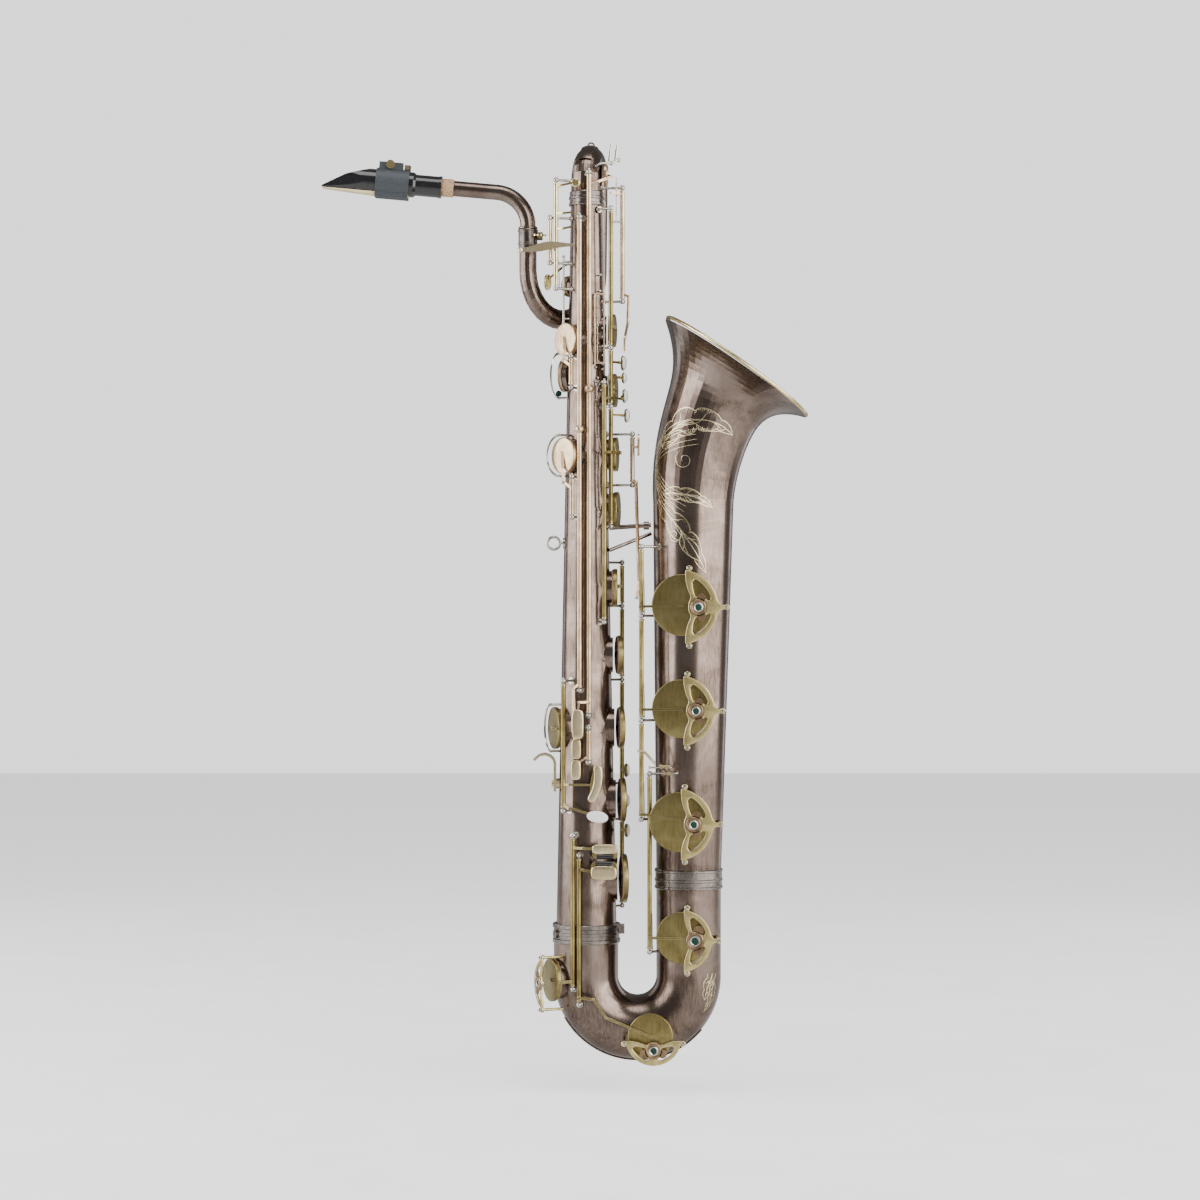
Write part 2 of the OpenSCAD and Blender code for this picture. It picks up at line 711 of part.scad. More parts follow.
PALM_LINE = [25.3, 27.3, [333.2, 258.8]];
TABLE_LINE = [82.7, -8, [114.4, 61]];
BODY_LINES = [UPPER, UPPER_A, LOWER, SIDE_BB_LINE, HIGH_E_LINE, SIDE_C_LINE, SIDE_BB_CUP,
    SIDE_C_TOUCH, TRILL_LINE, EB_LINE, C_LINE, OCTAVE_LINE, VENT_LINE, FRONT_F_LINE,
    PALM_LINE, TABLE_LINE];
BELL_LINES = [BELL_LINE, CS_LINE];

gap = 0.35;
module line_key(line, k) {
    posts = line[2];
    z1 = posts[k] - ball_r - gap;
    z0 = posts[k + 1] + ball_r + gap;
    hinged(line.x, line.y, z0, z1) children();
}

module post(x, y, z, ax, r) {
    d = [x - ax, y];
    foot = [ax, 0, z] + [d.x, d.y, 0] * (r / norm(d));
    difference() {
        union() {
            translate([x, y, z]) sphere(r = ball_r, $fn = 32);
            strut([x, y, z], foot - [d.x, d.y, 0] * (0.5 / norm(d)), 1.35);
            strut(foot - [d.x, d.y, 0] * (0.5 / norm(d)),
                foot + [d.x, d.y, 0] * (1.0 / norm(d)), 3.4);
            strut(foot, foot + [d.x, d.y, 0] * (2.4 / norm(d)), 2);
        }
        translate([x, y, z - 5]) cylinder(h = 10, r = rod_r + small);
    }
}

function tube_at(z) = z > body_top + ferrule_h ? body_top_r - 0.6
    : z < ring_low ? bow_r : z > body_top - 6 ? 18.4 : body_r(z);
module key_posts() {
    color(silver) {
        for (line = BODY_LINES, z = line[2])
            post(line.x, line.y, z, body_x, tube_at(z));
        for (line = BELL_LINES, z = line[2])
            post(line.x, line.y, z, z > bell_joint_z ? stem_x(z) : bell_x,
                z > bell_joint_z ? stem_r(z) : bow_r);
    }
}

module hinge_rods() {
    color(silver)
        for (line = concat(BODY_LINES, BELL_LINES)) {
            top = line[2][0] + ball_r + 0.4;
            low = line[2][len(line[2]) - 1] - ball_r + 0.6;
            translate([line.x, line.y, low])
                difference() {
                    cylinder(h = top - low, r = rod_r);
                    translate([-2, -0.25, top - low - 0.6]) cube([4, 0.5, 1]);
                }
        }
}

// ---------------------------------------------------------------- guards and supports

guard_t = 2;
guard_stand = 19.5;
// Crescent plate in the XY plane about its boss; its rounded side faces +X
module guard_plate(r, heart, tab) {
    cut = r * 0.81;
    cut_x = heart - r * 0.47;
    cut_y = r * 0.44;
    linear_extrude(guard_t)
        difference() {
            union() {
                difference() {
                    translate([heart, 0]) circle(r = r, $fn = 128);
                    translate([-200 + heart + r * 0.13, -100]) square([200, 200]);
                    for (side = [-1, 1])
                        translate([cut_x, side * cut_y]) circle(r = cut);
                }
                circle(r = r * 0.24);
                if (tab)
                    polygon([[heart + r - 3, -6], [heart + r + 2, -2.4], [heart + r + 9, -2.4],
                        [heart + r + 9, 2.4], [heart + r + 2, 2.4], [heart + r - 3, 6]]);
                for (side = [-1, 1])
                    translate([heart + r * 0.13 - 0.2, side > 0 ? r - 3.5 : -r - 3.5])
                        square([5.6, 7]);
            }
            difference() {
                translate([heart, 0]) circle(r = r * 0.83, $fn = 96);
                for (side = [-1, 1])
                    translate([cut_x, side * cut_y]) circle(r = cut + r * 0.12);
                circle(r = r * 0.33);
                translate([-100, -r * 0.16]) square([200, r * 0.32]);
                translate([-200 + heart + r * 0.2, -100]) square([200, 200]);
            }
            circle(r = r * 0.145);
        }
}
// Foot of a guard: a stem down to the tube and a screw head on top
module guard_foot(x, y, depth) {
    translate([x, y, 0]) {
        translate([0, 0, -depth]) cylinder(h = depth + 0.5, r = 1.7);
        translate([0, 0, guard_t - eps]) cylinder(h = 1.6, r1 = 2.3, r2 = 1.6);
    }
}
// Guard with its feet; deep holds how far down the two end feet reach, then the side foot
module guard(r, heart, deep) {
    guard_plate(r, heart, len(deep) == 3);
    for (k = [0, 1])
        guard_foot(heart + r * 0.13 + 2.6, (2 * k - 1) * (r + 2), deep[k]);
    if (len(deep) == 3) guard_foot(heart + r + 7.6, 0, deep[2]);
}
// Depth from a guard's plane to a tube of radius r, at the distance off from the tube's axis
function to_tube(plane, r, off) = plane - sqrt(r * r - off * off) + 0.4;

boss_dx = 13.6;
module bell_guard(key, top, tube_x, tube) {
    r = key[2] * 1.2;
    x = key[0] + boss_dx * key[2] / 32;
    heart = -r * 0.459;
    plane = top + guard_stand;
    tip = to_tube(plane, tube, x + heart + r * 0.13 + 2.6 - tube_x);
    color(bright_brass)
        translate([x, -plane, key[1] - 2])
            rotate([90, 0, 0])
                guard(r, heart, [tip, tip, to_tube(plane, tube, x + heart + r + 7.6 - tube_x)]);
}
module guard_low_a() { bell_guard(LOW_A, stem_top(LOW_A), stem_x(-65), stem_r(-65)); }
module guard_low_b_flat() { bell_guard(LOW_BB, stem_top(LOW_BB), stem_x(-172), stem_r(-172)); }
module guard_low_b() { bell_guard(LOW_B, stem_top(LOW_B), stem_x(-290), stem_r(-290)); }
module guard_low_c_sharp() { bell_guard(LOW_CS, bow_top, bell_x, bow_r); }

c_guard_r = 29;
c_guard_boss = [104, -526];
module guard_low_c() {
    plane = bow_top + guard_stand;
    color(bright_brass)
        translate([c_guard_boss.x, -plane, c_guard_boss.y])
            rotate([90, 0, 0])
                rotate([0, 0, -90])
                    guard(c_guard_r, -c_guard_r * 0.459, [plane - 31.5, plane - 22.6]);
}

eb_plane = 53.5;
eb_guard_r = 26;
module eb_place() {
    translate([bow_leg_x, 0, LOW_EB[0] - 2])
        rotate([0, 0, LOW_EB[2]])
            rotate([0, 90, 0])
                rotate([0, 0, -90])
                    translate([0, 0, eb_plane])
                        children();
}
module guard_low_e_flat() {
    color(bright_brass)
        eb_place()
            translate([-6, 0, 0])
                guard(eb_guard_r, -eb_guard_r * 0.459,
                    [eb_plane - 31.4, eb_plane - 25.8]);
}

module bumper(r) {
    translate([0, 0, -0.6]) cylinder(h = 3.2, r = r * 0.145 - small);
    translate([0, 0, -2.6]) cylinder(h = 3, r = r * 0.09);
}
module guard_bumpers() {
    color(silver) {
        for (item = [[LOW_A, stem_top(LOW_A)], [LOW_BB, stem_top(LOW_BB)],
                [LOW_B, stem_top(LOW_B)], [LOW_CS, bow_top]])
            translate([item[0][0] + boss_dx * item[0][2] / 32, -item[1] - guard_stand,
                    item[0][1] - 2])
                rotate([90, 0, 0]) bumper(item[0][2] * 1.2);
        translate([c_guard_boss.x, -bow_top - guard_stand, c_guard_boss.y])
            rotate([90, 0, 0]) bumper(c_guard_r);
        eb_place() translate([-6, 0, 0]) bumper(eb_guard_r);
    }
}

// Half-ring guard on two feet beside a cup; start turns the half ring about the cup's axis
module side_guard(z, r, azimuth, d, start) {
    root = body_r(z) - 0.8;
    on_body(z, azimuth)
        rotate([0, 0, start]) {
            translate([0, 0, d])
                rotate_extrude(angle = 180, $fn = 96)
                    polygon([[r + 0.9, 0], [r + 3.7, -1.6], [r + 4.1, -0.4], [r + 1.3, 1.4]]);
            for (side = [-1, 1])
                translate([side * (r + 2.5), 1.5, root])
                    cylinder(h = d - root, r = 1.2);
        }
}
// The guards of the side B flat and trill cups, and the one behind the side C cup
REAR = [177, 21, 160];
module side_guards() {
    color(silver) {
        side_guard(SIDE_BB[0], SIDE_BB[1], SIDE_BB[2], 36, 180);
        side_guard(TRILL[0], TRILL[1], TRILL[2], 39, 180);
        side_guard(REAR[0], REAR[1], REAR[2], 31.4, 0);
    }
}

ring_hole = 5.1;
ring_out = 8;
module strap_ring() {
    wire = (ring_out - ring_hole + 0.15) / 2;
    lug = [body_x - body_r(0) + 0.9, 0, 0];
    color(silver)
        difference() {
            union() {
                rotate([90, 0, 0])
                    rotate_extrude($fn = 72) translate([ring_out - wire, 0]) circle(r = wire);
                strut([ring_out - 1.4, 0, 0], lug, 1.2);
                strut(lug - [2.2, 0, 0], lug, 5.5);
            }
            rotate([90, 0, 0]) cylinder(h = 8, r = ring_hole, center = true);
        }
}

hook_y = -7;
hook_w = 14;
module thumb_hook() {
    x = 1.2;
    z = -233;
    r = 11;
    thick = 2.6;
    color(silver)
        union() {
            translate([x - r, hook_y + hook_w, z])
                rotate([90, 0, 0])
                    rotate_extrude(angle = 132, $fn = 96)
                        translate([r - thick / 2, 0]) square([thick, hook_w]);
            translate([x - thick / 2, hook_y, z - 28]) cube([thick, hook_w, 28.05]);
            translate([x - r, hook_y, z])
                rotate([0, -132, 0])
                    translate([r - thick / 2, 0, -eps]) cube([thick, hook_w, 5]);
            translate([x, hook_y + hook_w / 2, z - 20])
                rotate([0, 90, 0]) cylinder(h = body_x - body_r(z - 20) - x + 1.2, r = 5.5);
            translate([x - 3.4, hook_y + hook_w / 2, z - 20])
                rotate([0, 90, 0]) cylinder(h = 3, r = 3.4);
        }
}

// ---------------------------------------------------------------- touches

// Rounded plate facing -Y, w wide and h high, centred on x, z with its front at y
module plate(x, y, z, w, h, t) {
    corner = min(w, h) * 0.32;
    translate([x, y + t, z])
        rotate([90, 0, 0])
            linear_extrude(t)
                rounded(w, h, corner);
}
module rounded(w, h, corner) {
    square([w - 2 * corner, h], center = true);
    square([w, h - 2 * corner], center = true);
    for (i = [-1, 1], j = [-1, 1])
        translate([i * (w / 2 - corner), j * (h / 2 - corner)]) circle(r = corner, $fn = 32);
}
// Oval leaf: long axis along local Y, facing local Z
module leaf(w, h, t) {
    linear_extrude(t)
        polygon([for (a = [0 : 12 : 348]) [w / 2 * cos(a), h / 2 * sin(a)]]);
}

// ---------------------------------------------------------------- bell keys

arm_r = 1.7;
// Key with a cup on the -Y side and a straight arm from its hinge line
module bell_key(line, k, key, top, arm_z) {
    face = top + pad_gap;
    arm_y = -(face + cup_t + 0.4);
    color(antique)
        about(line.x, line.y, -bell_key_open)
            line_key(line, k) {
                front_cup(key[0], key[1], face, key[2]);
                bent_bar([[line.x, line.y, arm_z], [line.x + 1, arm_y + 1, arm_z],
                    [key[0] + 2, arm_y, key[1] + (arm_z - key[1]) * 0.3]], arm_r);
            }
}
module key_low_a() { bell_key(BELL_LINE, 0, LOW_A, stem_top(LOW_A), -66.5); }
module key_low_b_flat() { bell_key(BELL_LINE, 1, LOW_BB, stem_top(LOW_BB), -173.5); }
module key_low_b() { bell_key(BELL_LINE, 2, LOW_B, stem_top(LOW_B), -282); }
module key_low_c_sharp() { bell_key(CS_LINE, 0, LOW_CS, bow_top, -411); }

low_c_open = 6.5;
roller_z = [-326.4, -333];
roller_r = 2.4;
module pinky_plate(x, z0, z1, slot) {
    y = -48;
    difference() {
        plate(x, y, (z0 + z1) / 2, 26.5, z1 - z0, 2.2);
        translate([x - 9.3, y - 1, slot - roller_r - 0.5]) cube([18.6, 6, 2 * roller_r + 1]);
    }
}
module key_low_c() {
    face = bow_top + pad_gap;
    color(antique)
        about(C_LINE.x, C_LINE.y, -low_c_open)
            line_key(C_LINE, 0) {
                front_cup(LOW_C[0], LOW_C[1], face, LOW_C[2]);
                bent_bar([[C_LINE.x, C_LINE.y, -473], [28.5, -46.5, -473], [43, -47.5, -474],
                    [56, -46.5, -493], [LOW_C[0] + 3, -face - cup_t - 0.2, LOW_C[1] - 1]], 1.6);
                bent_bar([[C_LINE.x, C_LINE.y, -340], [31, -46.6, -340], [45, -46.8, -342]], 1.5);
                pinky_plate(54, -350, -330.4, roller_z[1]);
            }
}
module key_low_e_flat() {
    face = bow_r + LOW_EB[3] + pad_gap;
    n = [cos(LOW_EB[2]), sin(LOW_EB[2])] * (face + cup_t + 0.4);
    z = LOW_EB[0];
    color(antique)
        line_key(EB_LINE, 0) {
            radial_cup(bow_leg_x, z, LOW_EB[2], face, LOW_EB[1]);
            bent_bar([[EB_LINE.x, EB_LINE.y, z + 0.8], [8.6, -39, z + 0.8], [-1, -27, z + 0.8],
                [bow_leg_x + n.x + 0.2, n.y, z + 0.8]], arm_r);
            bent_bar([[EB_LINE.x, EB_LINE.y, -317.6], [31, -46.6, -317.6], [45, -46.8, -318.4]], 1.5);
            pinky_plate(54, -328.8, -313.6, roller_z[0]);
        }
}

// ---------------------------------------------------------------- stack keys

function stack_face(z) = body_r(z) + chimney_rise + pad_gap;
function crown_x(z) = body_x + stack_face(z) + cup_t;
upper_turn = -asin(stack_lift / 25);
lower_turn = asin(stack_lift / 30);
a_turn = -asin(stack_lift / 29);

module stack_cup(hole) { radial_cup(body_x, hole[0], 0, stack_face(hole[0]), hole[1]); }
module stack_arm(line, z, zc) {
    x = crown_x(zc) + 0.4;
    y = line.y * 0.5;
    bent_bar([[line.x, line.y, z], [x + 0.6, y, z], [x + 0.1, -sign(line.y) * 1.5, zc + 0.7]], 1.6);
}
// Seat for a finger pearl on an arm from the hinge line
module pearl_arm(line, p, r) {
    bent_bar([[line.x, line.y, p.z], [p.x - 1.6, line.y * 0.55, p.z], [p.x + 0.2, p.y, p.z]], 1.4);
    pearl_seat(p, 0, r);
}

module key_c() {
    color(antique)
        about(UPPER.x, UPPER.y, upper_turn)
            line_key(UPPER, 0) {
                stack_cup(STACK[0]);
                stack_arm(UPPER, 226, STACK[0][0]);
            }
}
module key_b() {
    color(antique)
        about(UPPER.x, UPPER.y, upper_turn)
            line_key(UPPER, 1) {
                stack_cup(STACK[1]);
                stack_arm(UPPER, 160.8, STACK[1][0]);
                pearl_arm(UPPER, [68.6, -4, 189.3], 8);
                pearl_arm(UPPER, [69.4, -5, 173.6], 5.8);
            }
}
module key_g() {
    color(antique)
        about(UPPER.x, UPPER.y, upper_turn)
            line_key(UPPER, 2) {
                stack_cup(STACK[3]);
                stack_arm(UPPER, 34.8, STACK[3][0]);
                pearl_arm(UPPER, [72.2, -4, 134], 7.4);
            }
}
module key_a() {
    cup_x = crown_x(STACK[2][0]) + 0.4;
    color(antique)
        about(UPPER_A.x, UPPER_A.y, a_turn)
            line_key(UPPER_A, 0) {
                stack_cup(STACK[2]);
                bent_bar([[UPPER_A.x, UPPER_A.y, 94.4], [59.5, -35.2, 94.4],
                    [68.6, -19, 94.4], [cup_x + 0.2, 0.7, 94.4]], 1.7);
                bent_bar([[UPPER_A.x, UPPER_A.y, 151], [59, -35.6, 151],
                    [69.8, -17, 151], [70.2, -4, 154.6]], 1.5);
                pearl_seat([70, -4, 154.6], 0, 7.4);
            }
}
module lower_key(k, hole) {
    color(antique)
        about(LOWER.x, LOWER.y, lower_turn)
            line_key(LOWER, k) {
                stack_cup(STACK[hole]);
                stack_arm(LOWER, STACK[hole][0], STACK[hole][0]);
                children();
            }
}
module key_g_sharp() {
    color(antique)
        line_key(LOWER, 0) {
            stack_cup(STACK[4]);
            stack_arm(LOWER, -45, STACK[4][0]);
        }
}
module key_f_sharp() { lower_key(1, 5); }
module key_f() { lower_key(2, 6) pearl_arm(LOWER, [71.2, -3, -238.8], 7.4); }
module key_e() { lower_key(3, 7) pearl_seat([crown_x(-270) - 0.3, -3, -271], 0, 7.4); }
module key_d() { lower_key(4, 8) pearl_arm(LOWER, [71.4, -3, -302.2], 7.4); }

// ---------------------------------------------------------------- side keys

module key_side_c() {
    face = body_r(SIDE_C[0]) + SIDE_C[3] + pad_gap;
    n = [cos(SIDE_C[2]), sin(SIDE_C[2])] * (face + cup_t + 0.4);
    color(rod_brass)
        line_key(SIDE_C_LINE, 0) {
            radial_cup(body_x, SIDE_C[0], SIDE_C[2], face, SIDE_C[1]);
            bent_bar([[18.5, -28, 184], [10.5, -31, 190], [body_x + n.x + 0.4, n.y - 3, 202],
                [body_x + n.x, n.y, 216]], 1.6);
        }
}
module key_side_b_flat() {
    face = body_r(SIDE_BB[0]) + SIDE_BB[3] + pad_gap;
    n = [cos(SIDE_BB[2]), sin(SIDE_BB[2])] * (face + cup_t + 0.4);
    color(rod_brass)
        line_key(SIDE_BB_CUP, 0) {
            radial_cup(body_x, SIDE_BB[0], SIDE_BB[2], face, SIDE_BB[1]);
            bent_bar([[19.5, -31.5, 56], [10.5, -35, 63], [body_x + n.x + 0.6, n.y - 4, 78],
                [body_x + n.x, n.y, 96]], 1.6);
        }
}
module lever_side_b_flat() {
    color(rod_brass)
        line_key(SIDE_BB_LINE, 0) {
            translate([SIDE_BB_LINE.x, SIDE_BB_LINE.y, 118.6]) sphere(r = 4.6, $fn = 40);
            bent_bar([[27.2, -33.6, -146.5], [20.5, -36, -152], [22.5, -38.4, -208]], 1.4);
            plate(23.9, -42.2, -215, 9.5, 20.2, 3);
        }
}
module lever_side_c() {
    color(rod_brass)
        line_key(SIDE_C_TOUCH, 0) {
            bent_bar([[37, -34, -222], [34, -41, -224], [26, -41, -229]], 1.3);
            plate(23.5, -42.2, -236.6, 10, 20, 3);
        }
}
module key_high_e() {
    z = high_e.z;
    face = high_e.x - 2.2;
    color(rod_brass)
        line_key(HIGH_E_LINE, 0) {
            translate([HIGH_E_LINE.x, HIGH_E_LINE.y, 161]) sphere(r = 5, $fn = 40);
            bent_bar([[37.3, -31.2, 374], [46, -30.4, 377], [60, -17, z - 4],
                [face + cup_t + 0.4, high_e.y, z]], 1.5);
            translate([face, high_e.y, z]) rotate([0, 90, 0]) cup(high_e_r);
            bent_bar([[37.3, -31.2, -168], [36, -43.5, -165.6], [27, -48, -166],
                [25.4, -48, -178]], 1.4);
            plate(25.4, -49.6, -188.8, 12, 30, 3);
        }
}
module key_trill() {
    face = body_r(TRILL[0]) + TRILL[3] + pad_gap;
    n = [cos(TRILL[2]), sin(TRILL[2])] * (face + cup_t + 0.4);
    color(antique)
        line_key(TRILL_LINE, 0) {
            radial_cup(body_x, TRILL[0], TRILL[2], face, TRILL[1]);
            bent_bar([[10.4, -33, -194], [4, -33, -194], [body_x + n.x + 0.3, n.y - 7, -194],
                [body_x + n.x, n.y, -194]], 1.6);
            bent_bar([[10.4, -33, -252], [17, -40.5, -252], [41, -41, -252]], 1.3);
            translate([43, -40, -250])
                rotate([90, 0, 0]) rotate([0, 0, -9]) leaf(8.4, 34, 2.4);
            bent_bar([[10.4, -33, -273], [17, -40.5, -276], [40, -41, -283]], 1.4);
            translate([46, -40, -285.3])
                rotate([90, 0, 0]) rotate([0, 0, -8]) leaf(23, 12.6, 2.4);
        }
}

// ---------------------------------------------------------------- octave, front and left hand

module octave_lever() {
    color(bright_brass)
        line_key(OCTAVE_LINE, 0) {
            translate([0, -21.2, 0])
                rotate([90, 0, 0])
                    linear_extrude(3)
                        polygon(concat(
                            [for (i = [0 : 12]) let (u = i / 12)
                                [-34 + 54 * u, lever_mid(u) + lever_half(u)]],
                            [for (i = [12 : -1 : 0]) let (u = i / 12)
                                [-34 + 54 * u, lever_mid(u) - lever_half(u)]]));
            translate([-34.5, -22.7, 306.4]) sphere(r = 3.3, $fn = 40);
            strut([-3.8, -14, 309.5], [-3.8, -23, 309.5], 3);
        }
}
function lever_mid(u) = 306.4 + 5.4 * pow(sin(90 * min(1, u * 1.4)), 2);
function lever_half(u) = 1.9 + 2.7 * pow(sin(180 * pow(u, 0.9)), 2) - 0.4 * u;

module octave_vent_key() {
    color(bright_brass)
        line_key(VENT_LINE, 0) {
            front_cup(vent.x, vent.z, 20, 4.8);
            bent_bar([[2.5, -17, 373.4], [8, -24.2, 374], [vent.x, -24.9, vent.z]], 1.3);
            bent_bar([[2.5, -17, 345], [10, -22, 345], [20, -23, 346]], 1.3);
            bent_bar([[2.5, -17, 329], [10, -22, 329], [20, -23, 331]], 1.3);
        }
}

module front_f_lever() {
    color(rod_brass)
        line_key(FRONT_F_LINE, 0) {
            bent_bar([[72.3, -6, 262], [79, -8, 259], [78, -9, 232], [74.5, -8, 214]], 1.4);
            translate([73.4, -8, 210])
                rotate([0, 90, 0]) rotate([0, 0, 90]) leaf(7, 17, 2);
            bent_bar([[72.3, -6, 366], [70, -14, 366], [60, -19, 367]], 1.3);
        }
}

module palm_key_d() {
    face = body_r(PALM[0]) + PALM[3] + pad_gap;
    n = [cos(PALM[2]), sin(PALM[2])] * (face + cup_t + 0.4);
    color(antique)
        line_key(PALM_LINE, 0) {
            radial_cup(body_x, PALM[0], PALM[2], face, PALM[1]);
            bent_bar([[25.3, 27.3, 276], [20, 28, 274], [body_x + n.x, n.y, 272]], 1.5);
            bent_bar([[25.3, 27.3, 300], [12, 34, 297], [-5.5, 31, 282]], 1.5);
            translate([-6, 30, 278])
                rotate([0, 0, PALM[2]]) rotate([0, 90, 0]) rotate([0, 0, 90]) leaf(10, 17, 2.4);
        }
}

module table_lever() {
    color([0.72, 0.47, 0.34])
        line_key(TABLE_LINE, 0) {
            bent_bar([[82.7, -8, 66], [86.5, -11.5, 64], [89.5, -14, -40],
                [87, -26, -58]], 1.5);
            bent_bar([[82.7, -8, 100], [88, -12, 101]], 1.4);
            translate([88, -13, 103])
                rotate([0, 90, 0]) rotate([0, 0, 90]) leaf(13, 23, 2.2);
        }
}

body_tube();
body_bow_ring();
bow();
bow_guard();
bell_bow_ferrule();
bell_stem();
bell_flare();
bell_rim();
bell_brace();
upper_bow_ferrule();
upper_bow();
upper_bow_guard();
upper_loop();
neck_receiver();
strap_ring();
thumb_hook();
key_posts();
hinge_rods();
guard_low_a();
guard_low_b_flat();
guard_low_b();
guard_low_c_sharp();
guard_low_c();
guard_low_e_flat();
guard_bumpers();
side_guards();
neck_screw();
neck();
neck_cork();
mouthpiece();
reed();
ligature();
ligature_screw_front();
ligature_screw_rear();
key_low_a();
key_low_b_flat();
key_low_b();
key_low_c_sharp();
key_low_c();
key_low_e_flat();
key_c();
key_b();
key_a();
key_g();
key_g_sharp();
key_f_sharp();
key_f();
key_e();
key_d();
key_side_c();
lever_side_c();
key_side_b_flat();
lever_side_b_flat();
key_high_e();
key_trill();
octave_lever();
octave_vent_key();
front_f_lever();
palm_key_d();
table_lever();
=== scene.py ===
import json
import math

import bmesh
import bpy
from mathutils import Matrix, Vector


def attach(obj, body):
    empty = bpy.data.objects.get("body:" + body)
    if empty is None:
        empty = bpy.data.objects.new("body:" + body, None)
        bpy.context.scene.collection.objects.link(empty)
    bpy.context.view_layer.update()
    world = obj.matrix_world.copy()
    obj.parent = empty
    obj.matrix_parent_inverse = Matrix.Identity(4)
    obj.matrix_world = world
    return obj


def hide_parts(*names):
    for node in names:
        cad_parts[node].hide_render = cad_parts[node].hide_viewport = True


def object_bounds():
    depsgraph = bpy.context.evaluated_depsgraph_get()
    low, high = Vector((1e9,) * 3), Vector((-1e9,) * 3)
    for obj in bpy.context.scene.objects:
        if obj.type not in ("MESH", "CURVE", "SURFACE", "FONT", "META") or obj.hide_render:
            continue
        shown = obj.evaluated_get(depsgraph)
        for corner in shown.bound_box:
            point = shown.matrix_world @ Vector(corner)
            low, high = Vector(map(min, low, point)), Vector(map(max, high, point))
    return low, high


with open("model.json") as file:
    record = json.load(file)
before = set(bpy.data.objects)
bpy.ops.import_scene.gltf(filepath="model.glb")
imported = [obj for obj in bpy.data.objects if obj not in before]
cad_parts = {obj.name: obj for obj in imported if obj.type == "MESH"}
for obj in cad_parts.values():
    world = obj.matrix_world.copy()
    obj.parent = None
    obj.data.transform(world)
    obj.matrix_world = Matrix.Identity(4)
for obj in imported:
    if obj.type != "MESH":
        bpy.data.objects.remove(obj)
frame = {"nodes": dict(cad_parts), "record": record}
cad_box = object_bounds()
MM = 0.001

# The tubes in mm: the body's axis, the bell stem's foot with its lean, and the bow
AXIS_X = 34.5
BODY_TOP, BODY_TOP_R, BODY_TAPER = 355, 16.5, 0.02
BELL_X, STEM_FOOT, STEM_LEAN = 142, -352.5, math.radians(0.72)
BOW_X, BOW_Z, BOW_BEND, BOW_R = 88, -455, 54.0, 34
FLARE_Z, FLARE_R, RIM_R = 45.0, 42.5, 90.0      # where the bell turns away, and its rim
FLARE_TURN, FLARE_BEND = math.radians(34.5), 250.0


def v(*p):
    """A point in metres from millimetres."""
    return Vector(p) * MM


# ------------------------------------------------------------------ materials

class Graph:
    """A material's node tree, built up one node at a time."""

    def __init__(self, name):
        self.material = bpy.data.materials.new(name)
        self.material.use_nodes = True
        self.tree = self.material.node_tree
        self.tree.nodes.clear()
        self.shader = self.node("ShaderNodeBsdfPrincipled")
        out = self.node("ShaderNodeOutputMaterial")
        self.tree.links.new(self.shader.outputs[0], out.inputs[0])
        self.place = self.node("ShaderNodeTexCoord").outputs["Object"]

    def node(self, kind, inputs=(), **props):
        """Adds a node; an input is a value or another node's socket."""
        n = self.tree.nodes.new(kind)
        for key, value in props.items():
            setattr(n, key, value)
        for key, value in dict(inputs).items():
            if isinstance(value, bpy.types.NodeSocket):
                self.tree.links.new(value, n.inputs[key])
            else:
                n.inputs[key].default_value = value
        return n

    def set(self, **inputs):
        """Sets or links the shader's inputs, named with _ for each space."""
        for key, value in inputs.items():
            socket = self.shader.inputs[key.replace("_", " ")]
            if isinstance(value, bpy.types.NodeSocket):
                self.tree.links.new(value, socket)
            else:
                socket.default_value = value

    def stretched(self, sx, sy, sz):
        """Object coordinates, scaled along each axis."""
        return self.node("ShaderNodeMapping", {0: self.place, 3: (sx, sy, sz)}).outputs[0]

    def noise(self, scale, detail=3.0, rough=0.55, place=None, warp=0.0):
        """Cloudy noise from 0 to 1."""
        n = self.node("ShaderNodeTexNoise", {
            "Vector": place or self.place, "Scale": scale, "Detail": detail,
            "Roughness": rough, "Distortion": warp})
        return n.outputs["Fac"]

    def remap(self, value, lo, hi, to_lo=0.0, to_hi=1.0):
        """Carries lo to hi onto to_lo to to_hi, held at both ends."""
        n = self.node("ShaderNodeMapRange", {
            "Value": value, "From Min": lo, "From Max": hi, "To Min": to_lo, "To Max": to_hi})
        return n.outputs[0]

    def math(self, what, a, b=0.0):
        """One sum or product of two values."""
        return self.node("ShaderNodeMath", {0: a, 1: b}, operation=what).outputs[0]

    def mix(self, fac, a, b):
        """Blends colours a and b, each a triple or a socket."""
        n = self.node("ShaderNodeMix", data_type="RGBA", blend_type="MIX")
        for socket, value in ((n.inputs[0], fac), (n.inputs[6], a), (n.inputs[7], b)):
            if isinstance(value, bpy.types.NodeSocket):
                self.tree.links.new(value, socket)
            elif socket.type == "RGBA":
                socket.default_value = (*value, 1.0)
            else:
                socket.default_value = value
        return n.outputs[2]

    def edges(self, radius):
        """From 0 on faces to 1 on edges: rubbed wear, and where the edge colour is bright a painted
        highlight.
        """
        bevel = self.node("ShaderNodeBevel", {"Radius": radius}, samples=4).outputs[0]
        flat = self.node("ShaderNodeNewGeometry").outputs["Normal"]
        dot = self.node("ShaderNodeVectorMath", {0: bevel, 1: flat}, operation="DOT_PRODUCT")
        return self.remap(dot.outputs["Value"], 0.995, 0.90)

    def bump(self, height, strength, distance=0.0002):
        """Fine relief, distance in metres."""
        n = self.node("ShaderNodeBump", {
            "Height": height, "Strength": strength, "Distance": distance})
        self.set(Normal=n.outputs[0])


